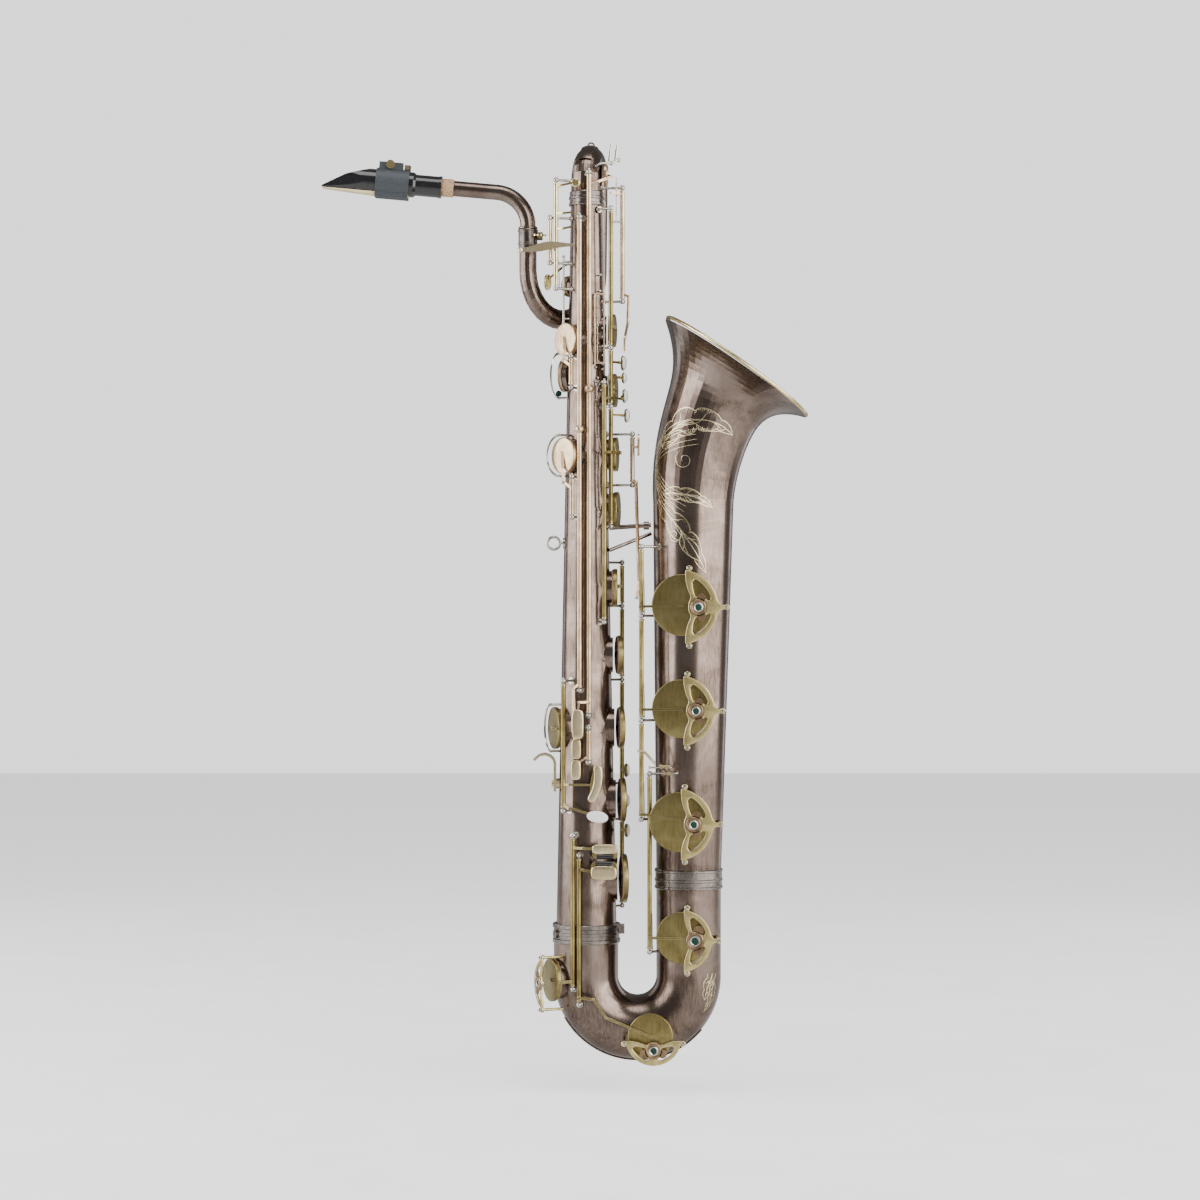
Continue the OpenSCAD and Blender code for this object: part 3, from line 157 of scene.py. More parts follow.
def metal(name, dark, mid, light, rough=(0.25, 0.4), grain=(50, 50, 5), patch=26.0,
          edge=None, edge_r=0.0005, spots=0.5, bump=0.1):
    """Handled metal: patina in cloudy patches, brushing along its grain, spots, and edges lightened
    for rubbed wear and as a painted highlight.
    """
    g = Graph(name)
    cloud = g.noise(patch, 5.0, 0.62, warp=0.6)
    brush = g.noise(12.0, 4.0, 0.6, g.stretched(*grain))
    fine = g.noise(620.0, 3.0, 0.6)
    colour = g.mix(g.remap(cloud, 0.34, 0.56), dark, mid)
    colour = g.mix(g.remap(cloud, 0.54, 0.72), colour, light)
    colour = g.mix(g.remap(brush, 0.38, 0.68, 0.0, 0.45), colour, light)
    speck = g.noise(150.0, 5.0, 0.7, warp=0.4)
    colour = g.mix(g.remap(speck, 0.60, 0.74, 0.0, spots), colour,
                   tuple(0.45 * c for c in dark))
    shine = g.remap(g.math("ADD", g.math("MULTIPLY", cloud, 0.6), g.math("MULTIPLY", brush, 0.4)),
                    0.32, 0.66, rough[1], rough[0])
    if edge:
        # Edges take the edge colour: rubbed wear, and on the guards, whose edge colour is near
        # white, a painted highlight
        wear_and_highlight = g.math("MULTIPLY", g.edges(edge_r), g.remap(fine, 0.3, 0.6, 0.55, 1.0))
        colour = g.mix(wear_and_highlight, colour, edge)
        shine = g.math("SUBTRACT", shine, g.math("MULTIPLY", wear_and_highlight, 0.1))
    g.set(Base_Color=colour, Metallic=1.0, Roughness=shine)
    height = g.math("ADD", g.math("MULTIPLY", brush, 0.5), g.math("MULTIPLY", fine, 0.5))
    g.bump(height, bump)
    return g


def plain(name, a, b, scale, rough, coat=0.0, bump=0.1, grain=(1, 1, 1), metallic=0.0, spec=0.5):
    """A material of two mixed tones with fine relief."""
    g = Graph(name)
    place = g.stretched(*grain)
    n = g.noise(scale, 5.0, 0.65, place)
    g.set(Base_Color=g.mix(g.remap(n, 0.35, 0.65), a, b), Metallic=metallic, Coat_Weight=coat,
          Roughness=g.remap(n, 0.3, 0.7, rough[0], rough[1]), Specular_IOR_Level=spec)
    g.bump(g.noise(scale * 3, 4.0, 0.7, place), bump)
    return g


BRONZE = metal("antique_bronze", (0.085, 0.055, 0.042), (0.20, 0.148, 0.12), (0.30, 0.235, 0.20),
               rough=(0.16, 0.30), patch=20.0, edge=(0.42, 0.33, 0.24), spots=0.35, bump=0.05)
FERRULE = metal("ring_bronze", (0.075, 0.062, 0.055), (0.20, 0.175, 0.16), (0.33, 0.29, 0.27),
                rough=(0.20, 0.34), edge=(0.5, 0.42, 0.33), spots=0.4, bump=0.06)
KEY = metal("antique_key_brass", (0.15, 0.112, 0.038), (0.27, 0.212, 0.08), (0.40, 0.33, 0.145),
            rough=(0.28, 0.44), patch=42.0, edge=(0.90, 0.76, 0.46), edge_r=0.0007, spots=0.5)
# The guards' near-white edge colour is a painted highlight along their bevels as well as rubbed
# wear
GUARD = metal("guard_brass", (0.34, 0.265, 0.10), (0.56, 0.455, 0.19), (0.76, 0.64, 0.32),
              rough=(0.26, 0.40), patch=45.0, edge=(1.0, 0.90, 0.62), edge_r=0.001, spots=0.45)
COPPER = metal("copper_brass", (0.42, 0.28, 0.155), (0.68, 0.495, 0.31), (0.84, 0.66, 0.45),
               rough=(0.26, 0.40), patch=45.0, edge=(0.95, 0.80, 0.56), spots=0.3)
GOLD = metal("polished_brass", (0.55, 0.40, 0.15), (0.80, 0.63, 0.30), (0.92, 0.78, 0.46),
             rough=(0.18, 0.30), patch=60.0, edge=(1.0, 0.90, 0.66), spots=0.2)
PALE = metal("pale_gold", (0.52, 0.40, 0.20), (0.78, 0.64, 0.38), (0.90, 0.79, 0.55),
             rough=(0.24, 0.38), patch=55.0, edge=(1.0, 0.93, 0.74), spots=0.2)
BOSS = metal("dark_copper", (0.12, 0.075, 0.04), (0.26, 0.165, 0.09), (0.42, 0.29, 0.17),
             rough=(0.26, 0.4), patch=60.0, edge=(0.80, 0.62, 0.40), spots=0.5)
SILVER = metal("nickel_silver", (0.33, 0.30, 0.26), (0.55, 0.52, 0.47), (0.74, 0.72, 0.67),
               rough=(0.16, 0.30), patch=80.0, edge=(0.86, 0.84, 0.78), spots=0.4)
EBONITE = plain("ebonite", (0.006, 0.006, 0.007), (0.014, 0.014, 0.015), 300.0, (0.10, 0.2),
                coat=0.5, bump=0.03)
CORK = plain("cork", (0.60, 0.40, 0.24), (0.36, 0.20, 0.10), 420.0, (0.75, 0.95), bump=0.6)
CANE = plain("cane", (0.84, 0.72, 0.44), (0.70, 0.55, 0.29), 260.0, (0.5, 0.62), bump=0.25,
             grain=(0.06, 1, 1))
SLATE = plain("slate_band", (0.030, 0.036, 0.042), (0.055, 0.062, 0.07), 700.0, (0.42, 0.6),
              bump=0.35)

LOOKS = {
    "body_lacquer": BRONZE, "ferrules": FERRULE, "rim_brass": GOLD, "guard_brass": GUARD,
    "key_brass": KEY, "copper_brass": COPPER, "nickel": SILVER, "cork": CORK,
    "ebonite": EBONITE, "cane": CANE, "ligature_leather": SLATE,
}
SLOT = {s["node"]: s["material_slot"] for s in frame["record"]["subparts"]}

for name, node in frame["nodes"].items():
    node.data.materials.clear()
    look = PALE if name in ("octave_lever", "thumb_hook") else LOOKS[SLOT[name]]
    node.data.materials.append(look.material)

# The plates that fingers rub get softened rims
SOFT_RIMS = {"octave_lever": 0.9, "table_lever": 0.5, "front_f_lever": 0.5, "thumb_hook": 0.8}
for name, width in SOFT_RIMS.items():
    node = frame["nodes"][name]
    node.modifiers.new("weld", "WELD").merge_threshold = 0.00001
    soft = node.modifiers.new("soft", "BEVEL")
    soft.width, soft.segments, soft.limit_method = width * MM, 3, "ANGLE"
    soft.angle_limit = math.radians(40)

# ------------------------------------------------------------------ shape helpers

def piece(name, bm, look, body, double=False):
    """Turns a bmesh in metres into a named piece that rides on a body."""
    if not double:
        bmesh.ops.recalc_face_normals(bm, faces=bm.faces)
    mesh = bpy.data.meshes.new(name)
    bm.to_mesh(mesh)
    bm.free()
    for face in mesh.polygons:
        face.use_smooth = True
    obj = bpy.data.objects.new(name, mesh)
    bpy.context.collection.objects.link(obj)
    obj.data.materials.append(look.material)
    mesh.set_sharp_from_angle(angle=math.radians(38))
    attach(obj, body)
    return obj


def lathe(bm, profile, place, steps=48, squeeze=1.0):
    """Turns (radius, height) points in mm about local Z; squeeze narrows local Y."""
    rings = []
    for r, h in profile:
        if r < 1e-6:
            rings.append([bm.verts.new(place @ v(0, 0, h))])
            continue
        rings.append([bm.verts.new(place @ v(
            r * math.cos(2 * math.pi * i / steps),
            squeeze * r * math.sin(2 * math.pi * i / steps), h)) for i in range(steps)])
    for a, b in zip(rings, rings[1:]):
        for i in range(steps):
            j = (i + 1) % steps
            ring = [a[i % len(a)], a[j % len(a)], b[j % len(b)], b[i % len(b)]]
            unique = list(dict.fromkeys(ring))
            if len(unique) > 2:
                bm.faces.new(unique)


def smooth_path(points, per_span=6):
    """A Catmull-Rom line through points given in mm, as vectors in mm."""
    pts = [Vector(p) for p in points]
    pts = [2 * pts[0] - pts[1]] + pts + [2 * pts[-1] - pts[-2]]
    line = []
    for a, b, c, d in zip(pts, pts[1:], pts[2:], pts[3:]):
        for k in range(per_span):
            t = k / per_span
            line.append(0.5 * (2 * b + (c - a) * t + (2 * a - 5 * b + 4 * c - d) * t ** 2
                               + (3 * b - a - 3 * c + d) * t ** 3))
    return line + [pts[-2]]


def sweep(bm, line, radius, sides=10, flat=1.0, place=Matrix()):
    """A round or flattened rod along a line in mm; radius is a number or a function of 0 to 1."""
    size = radius if callable(radius) else (lambda t: radius)
    up = Vector((0, 0, 1))
    rings = []
    for k, p in enumerate(line):
        ahead = line[min(k + 1, len(line) - 1)] - line[max(k - 1, 0)]
        ahead.normalize()
        if abs(ahead.dot(up)) > 0.96:
            up = Vector((0, 1, 0))
        across = ahead.cross(up).normalized()
        up = across.cross(ahead).normalized()
        r = size(k / (len(line) - 1))
        rings.append([bm.verts.new(place @ ((p + across * r * math.cos(a)
                      + up * r * flat * math.sin(a)) * MM))
                      for a in (2 * math.pi * i / sides for i in range(sides))])
    for a, b in zip(rings, rings[1:]):
        for i in range(sides):
            j = (i + 1) % sides
            bm.faces.new((a[i], a[j], b[j], b[i]))
    bm.faces.new(rings[0][::-1])
    bm.faces.new(rings[-1])


def sheet(outlines, place, thick, ease):
    """A plate between closed outlines in mm, the inner ones windows, with its edges rounded."""
    curve = bpy.data.curves.new("sheet", "CURVE")
    curve.dimensions, curve.fill_mode = "2D", "BOTH"
    curve.extrude, curve.bevel_depth = (thick / 2 - ease) * MM, ease * MM
    curve.offset, curve.bevel_resolution = -ease * MM, 3
    for points in outlines:
        spline = curve.splines.new("POLY")
        spline.points.add(len(points) - 1)
        spline.use_cyclic_u = True
        for at, p in zip(spline.points, points):
            at.co = (p[0] * MM, p[1] * MM, 0, 1)
    cut_out = bpy.data.objects.new("sheet", curve)
    bpy.context.collection.objects.link(cut_out)
    mesh = bpy.data.meshes.new_from_object(
        cut_out.evaluated_get(bpy.context.evaluated_depsgraph_get()))
    bm = bmesh.new()
    bm.from_mesh(mesh)
    bmesh.ops.remove_doubles(bm, verts=bm.verts, dist=1e-6)
    bm.transform(place @ Matrix.Translation(v(0, 0, thick / 2)))
    bpy.data.objects.remove(cut_out)
    bpy.data.meshes.remove(mesh)
    return bm


def curved_oval(r, half, start, end, steps=14):
    """Outline of a strip with round ends that follows an arc about the origin, in degrees."""
    def run(x, y, r, start, end):
        """An arc about x, y."""
        turns = [math.radians(start + (end - start) * i / steps) for i in range(steps + 1)]
        return [(x + r * math.cos(t), y + r * math.sin(t)) for t in turns]
    tips = [(r * math.cos(math.radians(t)), r * math.sin(math.radians(t))) for t in (start, end)]
    outer, inner = run(0, 0, r + half, start, end), run(0, 0, r - half, end, start)
    return (outer + run(*tips[1], half, end, end + 180)[1:] + inner[1:]
            + run(*tips[0], half, start + 180, start + 360)[1:-1])


def oval(w, h, power=2.0, steps=64):
    """A closed outline between an ellipse (power 2) and a rounded rectangle (higher)."""
    line = []
    for k in range(steps):
        c, n = (f(2 * math.pi * k / steps) for f in (math.cos, math.sin))
        line.append((w / 2 * math.copysign(abs(c) ** (2 / power), c),
                     h / 2 * math.copysign(abs(n) ** (2 / power), n)))
    return line


def turn(x, y, degrees):
    """The turn about a vertical hinge line at x, y (mm)."""
    at = Matrix.Translation(v(x, y, 0))
    return at @ Matrix.Rotation(math.radians(degrees), 4, "Z") @ at.inverted()


def spin(axis, degrees):
    """A turn about an axis through the origin."""
    return Matrix.Rotation(math.radians(degrees), 4, axis)


JOINTS = {j["child"]: j for j in frame["record"]["behaviour"]["joints"]}
# Keys that stand open at rest; each closes at one end of its range
OPEN = ["key_low_a", "key_low_b_flat", "key_low_b", "key_low_c_sharp", "key_low_c", "key_c",
        "key_b", "key_g", "key_a", "key_f_sharp", "key_f", "key_e", "key_d"]


def rest_turn(key):
    """How an open key stands away from its closed place."""
    if key not in OPEN:
        return Matrix()
    joint = JOINTS[key]
    low, high = joint["range_deg"]
    x, y, _ = joint["pos_m"]
    return turn(x / MM, y / MM, -high if high > 0 else -low)


def body_r(z):
    """The body tube's radius at height z."""
    return BODY_TOP_R + (BODY_TOP - z) * BODY_TAPER


def stem_x(z):
    """Where the bell stem's axis passes height z."""
    return BELL_X + (z - STEM_FOOT) * math.tan(STEM_LEAN)


def stem_r(z):
    """The stem's radius at height z: from the bow's at its foot to the flare's."""
    return BOW_R + (FLARE_R - BOW_R) * (z - STEM_FOOT) / (FLARE_Z - STEM_FOOT)


def radial(axis_x, z, azimuth, out):
    """Local Z points away from a vertical tube's axis; the origin lies out mm from it."""
    return (Matrix.Translation(v(axis_x, 0, z)) @ spin("Z", azimuth)
            @ Matrix.Translation(v(out, 0, 0)) @ spin("Y", 90))


def front(x, z, out):
    """Local Z points to -Y; the origin lies at y = -out."""
    return Matrix.Translation(v(x, -out, z)) @ spin("X", 90)


# Every key cup's closed place and radius, mm. A cup sits PAD above its chimney, which
# stands RISE above the body tube or BELL_RISE above the bell tubes
RISE, BELL_RISE, PAD, CUP_T = 2.0, 4, 1.4, 4.6
CUPS = {"key_" + n: (radial(AXIS_X, z, 0, body_r(z) + RISE + PAD), r) for n, z, r in (
    ("c", 223.8, 17.3), ("b", 160.8, 17.6), ("a", 93.6, 18), ("g", 34.8, 19.3),
    ("g_sharp", -47, 20), ("f_sharp", -117.5, 20.5), ("f", -194, 22), ("e", -270, 23),
    ("d", -352.7, 25.5))}
for n, z, r, azimuth, rise in (
        ("key_side_c", 213, 17.3, 219, 4), ("key_side_b_flat", 91.5, 19, 219, 4.5),
        ("key_trill", -194, 22, 196, 3), ("palm_key_d", 272, 11, 140, 2)):
    CUPS[n] = radial(AXIS_X, z, azimuth, body_r(z) + rise + PAD), r
CUPS["key_low_e_flat"] = radial(34, -458, 202, BOW_R + 1 + PAD), 22.4
# The bell keys that have a three-footed guard: x, z and the cup's radius
BELL_CUPS = {"low_a": (136.5, -65, 32), "low_b_flat": (134.8, -172.4, 30.3),
             "low_b": (132.2, -290, 31), "low_c_sharp": (135.3, -410.4, 27)}
for n, (x, z, r) in (BELL_CUPS | {"low_c": (102, -512, 23.5)}).items():
    tube = stem_r(z) if z > STEM_FOOT else BOW_R
    CUPS["key_" + n] = front(x, z, tube + BELL_RISE + PAD), r

# ------------------------------------------------------------------ pads, pearls, rollers

LEATHER = plain("pad_leather", (0.30, 0.17, 0.09), (0.42, 0.26, 0.15), 240.0, (0.45, 0.6), bump=0.3)
PEARL = plain("pearl", (0.96, 0.95, 0.91), (0.84, 0.86, 0.86), 130.0, (0.12, 0.22), coat=0.6,
              bump=0.02, grain=(1, 1, 0.4))
FELT = plain("green_felt", (0.002, 0.022, 0.013), (0.003, 0.045, 0.026), 900.0, (0.85, 1.0),
             bump=0.8)
ROLLER = plain("black_roller", (0.008, 0.008, 0.009), (0.02, 0.02, 0.02), 300.0, (0.12, 0.22),
               coat=0.4, bump=0.02)
STEEL = plain("blued_steel", (0.10, 0.12, 0.19), (0.19, 0.20, 0.25), 200.0, (0.25, 0.35),
              metallic=1.0)

for key, (place, r) in CUPS.items():
    place = rest_turn(key) @ place
    bm = bmesh.new()
    edge = r - 0.7
    lathe(bm, [(0, 0.2), (edge - 0.3, 0.2), (edge, -0.2), (edge, -0.9), (edge - 0.4, -1.25),
               (r * 0.9, -1.3), (r * 0.86, -1.16), (r * 0.8, -1.3), (r * 0.5, -1.28),
               (0, -1.28)], place)
    piece("pad_" + key.replace("key_", ""), bm, LEATHER, key)
    bm = bmesh.new()
    lathe(bm, [(r * 0.44, -1.25), (r * 0.44, -1.55), (r * 0.41, -1.8), (r * 0.3, -2.0),
               (r * 0.13, -2.25), (r * 0.1, -2.7), (0, -2.9)], place, 32)
    piece("resonator_" + key.replace("key_", ""), bm, SILVER, key)

CROWN_E = AXIS_X + body_r(-270) + RISE + PAD + CUP_T
PEARLS = [("b", (68.6, -4, 189.3), 8), ("b", (69.4, -5, 173.6), 5.8), ("g", (72.2, -4, 134), 7.4),
          ("a", (70, -4, 154.6), 7.4), ("f", (71.2, -3, -238.8), 7.4),
          ("e", (CROWN_E - 0.3, -3, -271), 7.4), ("d", (71.4, -3, -302.2), 7.4)]
for k, (key, at, r) in enumerate(PEARLS):
    key = "key_" + key
    place = rest_turn(key) @ Matrix.Translation(v(*at)) @ spin("Y", 90)
    bm = bmesh.new()
    lathe(bm, [(0, 1.5), (r - 0.7, 1.5), (r - 0.65, 2.6), (r - 0.8, 3.4), (r - 1.5, 4.2),
               (r - 2.8, 4.8), (r * 0.4, 5.1), (0, 5.15)], place)
    piece(f"pearl_{k}", bm, PEARL, key)

# The right hand's oval pearl and the pale touches over their plates: x, z, front y and size
place = front(46, -285.3, 40) @ spin("Z", -8)
piece("pearl_oval", sheet([oval(22.4, 12.4)], place, 3.6, 1.6), PEARL, "key_trill")
TOUCHES = {"key_high_e": (25.4, -188.8, 46.4, 12.6, 30.6),
           "lever_side_b_flat": (23.9, -215, 39.0, 10.2, 20.8),
           "lever_side_c": (23.5, -236.6, 39.0, 10.6, 20.6),
           "key_low_e_flat": (54, -318.5, 45.7, 27.1, 10.4),
           "key_low_c": (54, -342.8, 45.7, 27.1, 14.8)}
TOUCH_T, TOUCH_EASE = 4.0, 1.5
for key, (x, z, y, w, h) in TOUCHES.items():
    place = rest_turn(key) @ front(x, z, y)
    piece("touch_" + key.replace("key_", ""), sheet([oval(w, h, 3.6)], place, TOUCH_T, TOUCH_EASE),
          PALE, key)
place = rest_turn("key_trill") @ front(1.9, -243, 39.9)
piece("touch_trill", sheet([curved_oval(45, 4.5, -31, 9)], place, TOUCH_T, TOUCH_EASE), PALE,
      "key_trill")

# The flat, thin-rimmed face that closes each key cup
for key, (place, r) in CUPS.items():
    look, finish = (COPPER, "copper_brass") if "side" in key else (KEY, "key_brass")
    bm = bmesh.new()
    lathe(bm, [(r - 0.2, 0.2), (r + 0.06, 0.5), (r + 0.12, 3.7), (r - 0.1, 4.35), (r - 0.55, 4.66),
               (r - 1.0, 4.74), (r * 0.5, 4.84), (0, 4.86)], rest_turn(key) @ place, 72)
    piece("face_" + key.replace("key_", ""), bm, look, key)

for key, z in (("key_low_e_flat", -326.4), ("key_low_c", -333.0)):
    place = rest_turn(key) @ Matrix.Translation(v(54, -47.3, z)) @ spin("Y", 90)
    bm = bmesh.new()
    end = [(0, -9.0), (1.6, -9.0), (2.3, -8.5), (2.4, -7.9), (2.4, -3)]
    lathe(bm, end + [(r, -h) for r, h in end[::-1]], place, 28)
    piece("roller_" + key[4:], bm, ROLLER, key)

# ------------------------------------------------------------------ engraving

ENGRAVED = plain("cut_brass", (0.78, 0.64, 0.34), (0.95, 0.84, 0.55), 500.0, (0.2, 0.36),
                 bump=0.1, metallic=1.0)


def on_bell(across, up, lift):
    """A point lift mm above the bell; across runs round it from the -Y side, up along it."""
    if up <= FLARE_Z:
        axis, side, r = Vector((stem_x(up), 0, up)), Vector((1, 0, 0)), stem_r(up)
    else:
        a = STEM_LEAN + (up - FLARE_Z) / FLARE_BEND
        t = (a - STEM_LEAN) / FLARE_TURN
        foot = Vector((stem_x(FLARE_Z), 0, FLARE_Z))
        heart = foot + FLARE_BEND * Vector((math.cos(STEM_LEAN), 0, -math.sin(STEM_LEAN)))
        axis = heart + FLARE_BEND * Vector((-math.cos(a), 0, math.sin(a)))
        side = Vector((math.cos(a), 0, -math.sin(a)))
        r = FLARE_R + (RIM_R - FLARE_R) * (0.23 * t + 0.77 * t ** (12 - 5 * t))
        lift += 0.2
    phi = across / 43.0
    out = math.sin(phi) * side + math.cos(phi) * Vector((0, -1, 0))
    return (axis + (r + lift) * out) * MM


def on_bow(across, up, lift):
    """The same on the outside of the bow's bell end; up 0 is where its bend begins."""
    a = -up / (BOW_BEND + BOW_R)
    out = Vector((math.cos(a), 0, -math.sin(a)))
    psi = across / BOW_R
    normal = math.cos(psi) * out + math.sin(psi) * Vector((0, -1, 0))
    return (Vector((BOW_X, 0, BOW_Z)) + BOW_BEND * out + (BOW_R + lift) * normal) * MM


def cut(bm, chart, line, width):
    """One engraved line: a low ridge that thins towards both ends."""
    rows = []
    for k, p in enumerate(line):
        ahead = (line[min(k + 1, len(line) - 1)] - line[max(k - 1, 0)]).normalized()
        side = Vector((-ahead.y, ahead.x))
        t = k / (len(line) - 1)
        half = 0.5 * width * min(1.0, 0.25 + 4 * t, 0.25 + 4 * (1 - t))
        rows.append([bm.verts.new(chart(p.x + s * half * side.x, p.y + s * half * side.y, lift))
                     for s, lift in ((-1, 0.05), (0, 0.11), (1, 0.05))])
    for a, b in zip(rows, rows[1:]):
        for i in (0, 1):
            bm.faces.new((a[i], a[i + 1], b[i + 1], b[i]))


def arc(start, heading, length, curl, steps=40):
    """A flat line that bends by curl degrees in all, more and more towards its end."""
    p, line = Vector(start), []
    for k in range(steps + 1):
        line.append(p.copy())
        t = k / steps
        a = math.radians(heading + curl * t ** 1.4)
        p = p + Vector((math.cos(a), math.sin(a))) * (length / steps)
    return line


def acanthus(bm, chart, base, heading, length, curl, width, lobes, width_line=0.78):
    """A lobed scrolling leaf: outline, fanned veins and shading cuts along its rim."""
    spine = arc(base, heading, length, curl, 60)
    cut(bm, chart, spine, width_line)
    for side in (-1, 1):
        edge = []
        for k, p in enumerate(spine):
            t = k / 60
            ahead = spine[min(k + 1, 60)] - spine[max(k - 1, 0)]
            across = Vector((-ahead.y, ahead.x)).normalized() * side
            swell = width * math.sin(math.pi * min(1, 0.06 + t)) ** 0.7 * (1 - 0.25 * t)
            scallop = 0.62 + 0.38 * abs(math.sin(math.pi * lobes * t)) ** 0.55
            edge.append(p + across * swell * scallop + ahead.normalized() * 0.10 * swell)
        cut(bm, chart, edge, width_line)
        for n in range(lobes):
            tip = edge[int(60 * (n + 0.62) / lobes)]
            root = spine[int(60 * n / lobes * 0.62)]
            bend = (tip - root).length * 0.16 * side
            mid = (tip + root) / 2 + Vector((-(tip - root).y, (tip - root).x)).normalized() * -bend
            vein = smooth_path([root.to_3d(), mid.to_3d(), (root + (tip - root) * 0.86).to_3d()], 8)
            cut(bm, chart, [q.to_2d() for q in vein], width_line * 0.75)
        for k in range(4, 56):
            inward = (spine[k] - edge[k]) * (0.30 + 0.12 * math.sin(k * 1.7))
            line = [edge[k] + inward * s + Vector((inward.y, -inward.x)) * 0.25 * s * s
                    for s in (0, 0.33, 0.66, 1.0)]
            cut(bm, chart, line, 0.16)


def volute(bm, chart, centre, r, start, turns, way=1):
    """A rolled scroll end."""
    line = [Vector(centre) + r * (1 - 0.8 * t) * Vector((math.cos(a), math.sin(a)))
            for t in (k / 44 for k in range(45))
            for a in [math.radians(start + way * 360 * turns * t)]]
    cut(bm, chart, line, 0.6)
    for k in range(6, 30):
        cut(bm, chart, [line[k], line[k] * 0.6 + Vector(centre) * 0.4], 0.15)


bm = bmesh.new()
cut(bm, on_bell, arc((-30, 108), 200, 96, 128), 0.7)
cut(bm, on_bell, arc((-34, 104), 204, 84, 120), 0.5)
acanthus(bm, on_bell, (-44, 92), 62, 92, -104, 15, 4)
acanthus(bm, on_bell, (-46, 46), -44, 104, -22, 13, 4)
acanthus(bm, on_bell, (-36, 50), 6, 62, -52, 8, 3)
for k in range(6):
    upper = [(-54 + 0.4 * k, 80 - k, 0), (-49 + k, 98 - 3 * k, 0), (-35 + 2 * k, 113 - 4 * k, 0),
             (-15 + 2.4 * k, 125 - 4.6 * k, 0)]
    lower = [(-54 + 0.4 * k, 76 + k, 0), (-50 + k, 60 + 2 * k, 0), (-38 + 2 * k, 42 + 3 * k, 0),
             (-17 + 3 * k, 22 + 5 * k, 0)]
    for line in (upper, lower):
        cut(bm, on_bell, [q.to_2d() for q in smooth_path(line, 10)], 0.62 - 0.05 * k)
volute(bm, on_bell, (-14, 84), 10, 120, 1.3)
volute(bm, on_bell, (-22, 8), 8.5, 30, 1.25, -1)
piece("bell_engraving", bm, ENGRAVED, "root", double=True)

bm = bmesh.new()
acanthus(bm, on_bow, (22, 14), -62, 46, -34, 8, 3, 0.5)
acanthus(bm, on_bow, (26, -2), -96, 40, 22, 6, 3, 0.5)
piece("bow_engraving", bm, ENGRAVED, "root", double=True)

# ------------------------------------------------------------------ key guards, bosses and felts

STAND, PLATE = 19.5, 2.0      # a guard's height over its chimney and its thickness, mm
GUARD_R, GUARD_SCALE = 38.4, 1.2      # the drawn outline's radius, and a guard's over its cup's
FEET = ((-9.2, 40.2), (-9.2, -40.2), (29.6, 0))      # on that outline
SMALL_GUARD, SMALL_BOSS = 36, 1.3      # below this radius a guard has a larger boss for its size


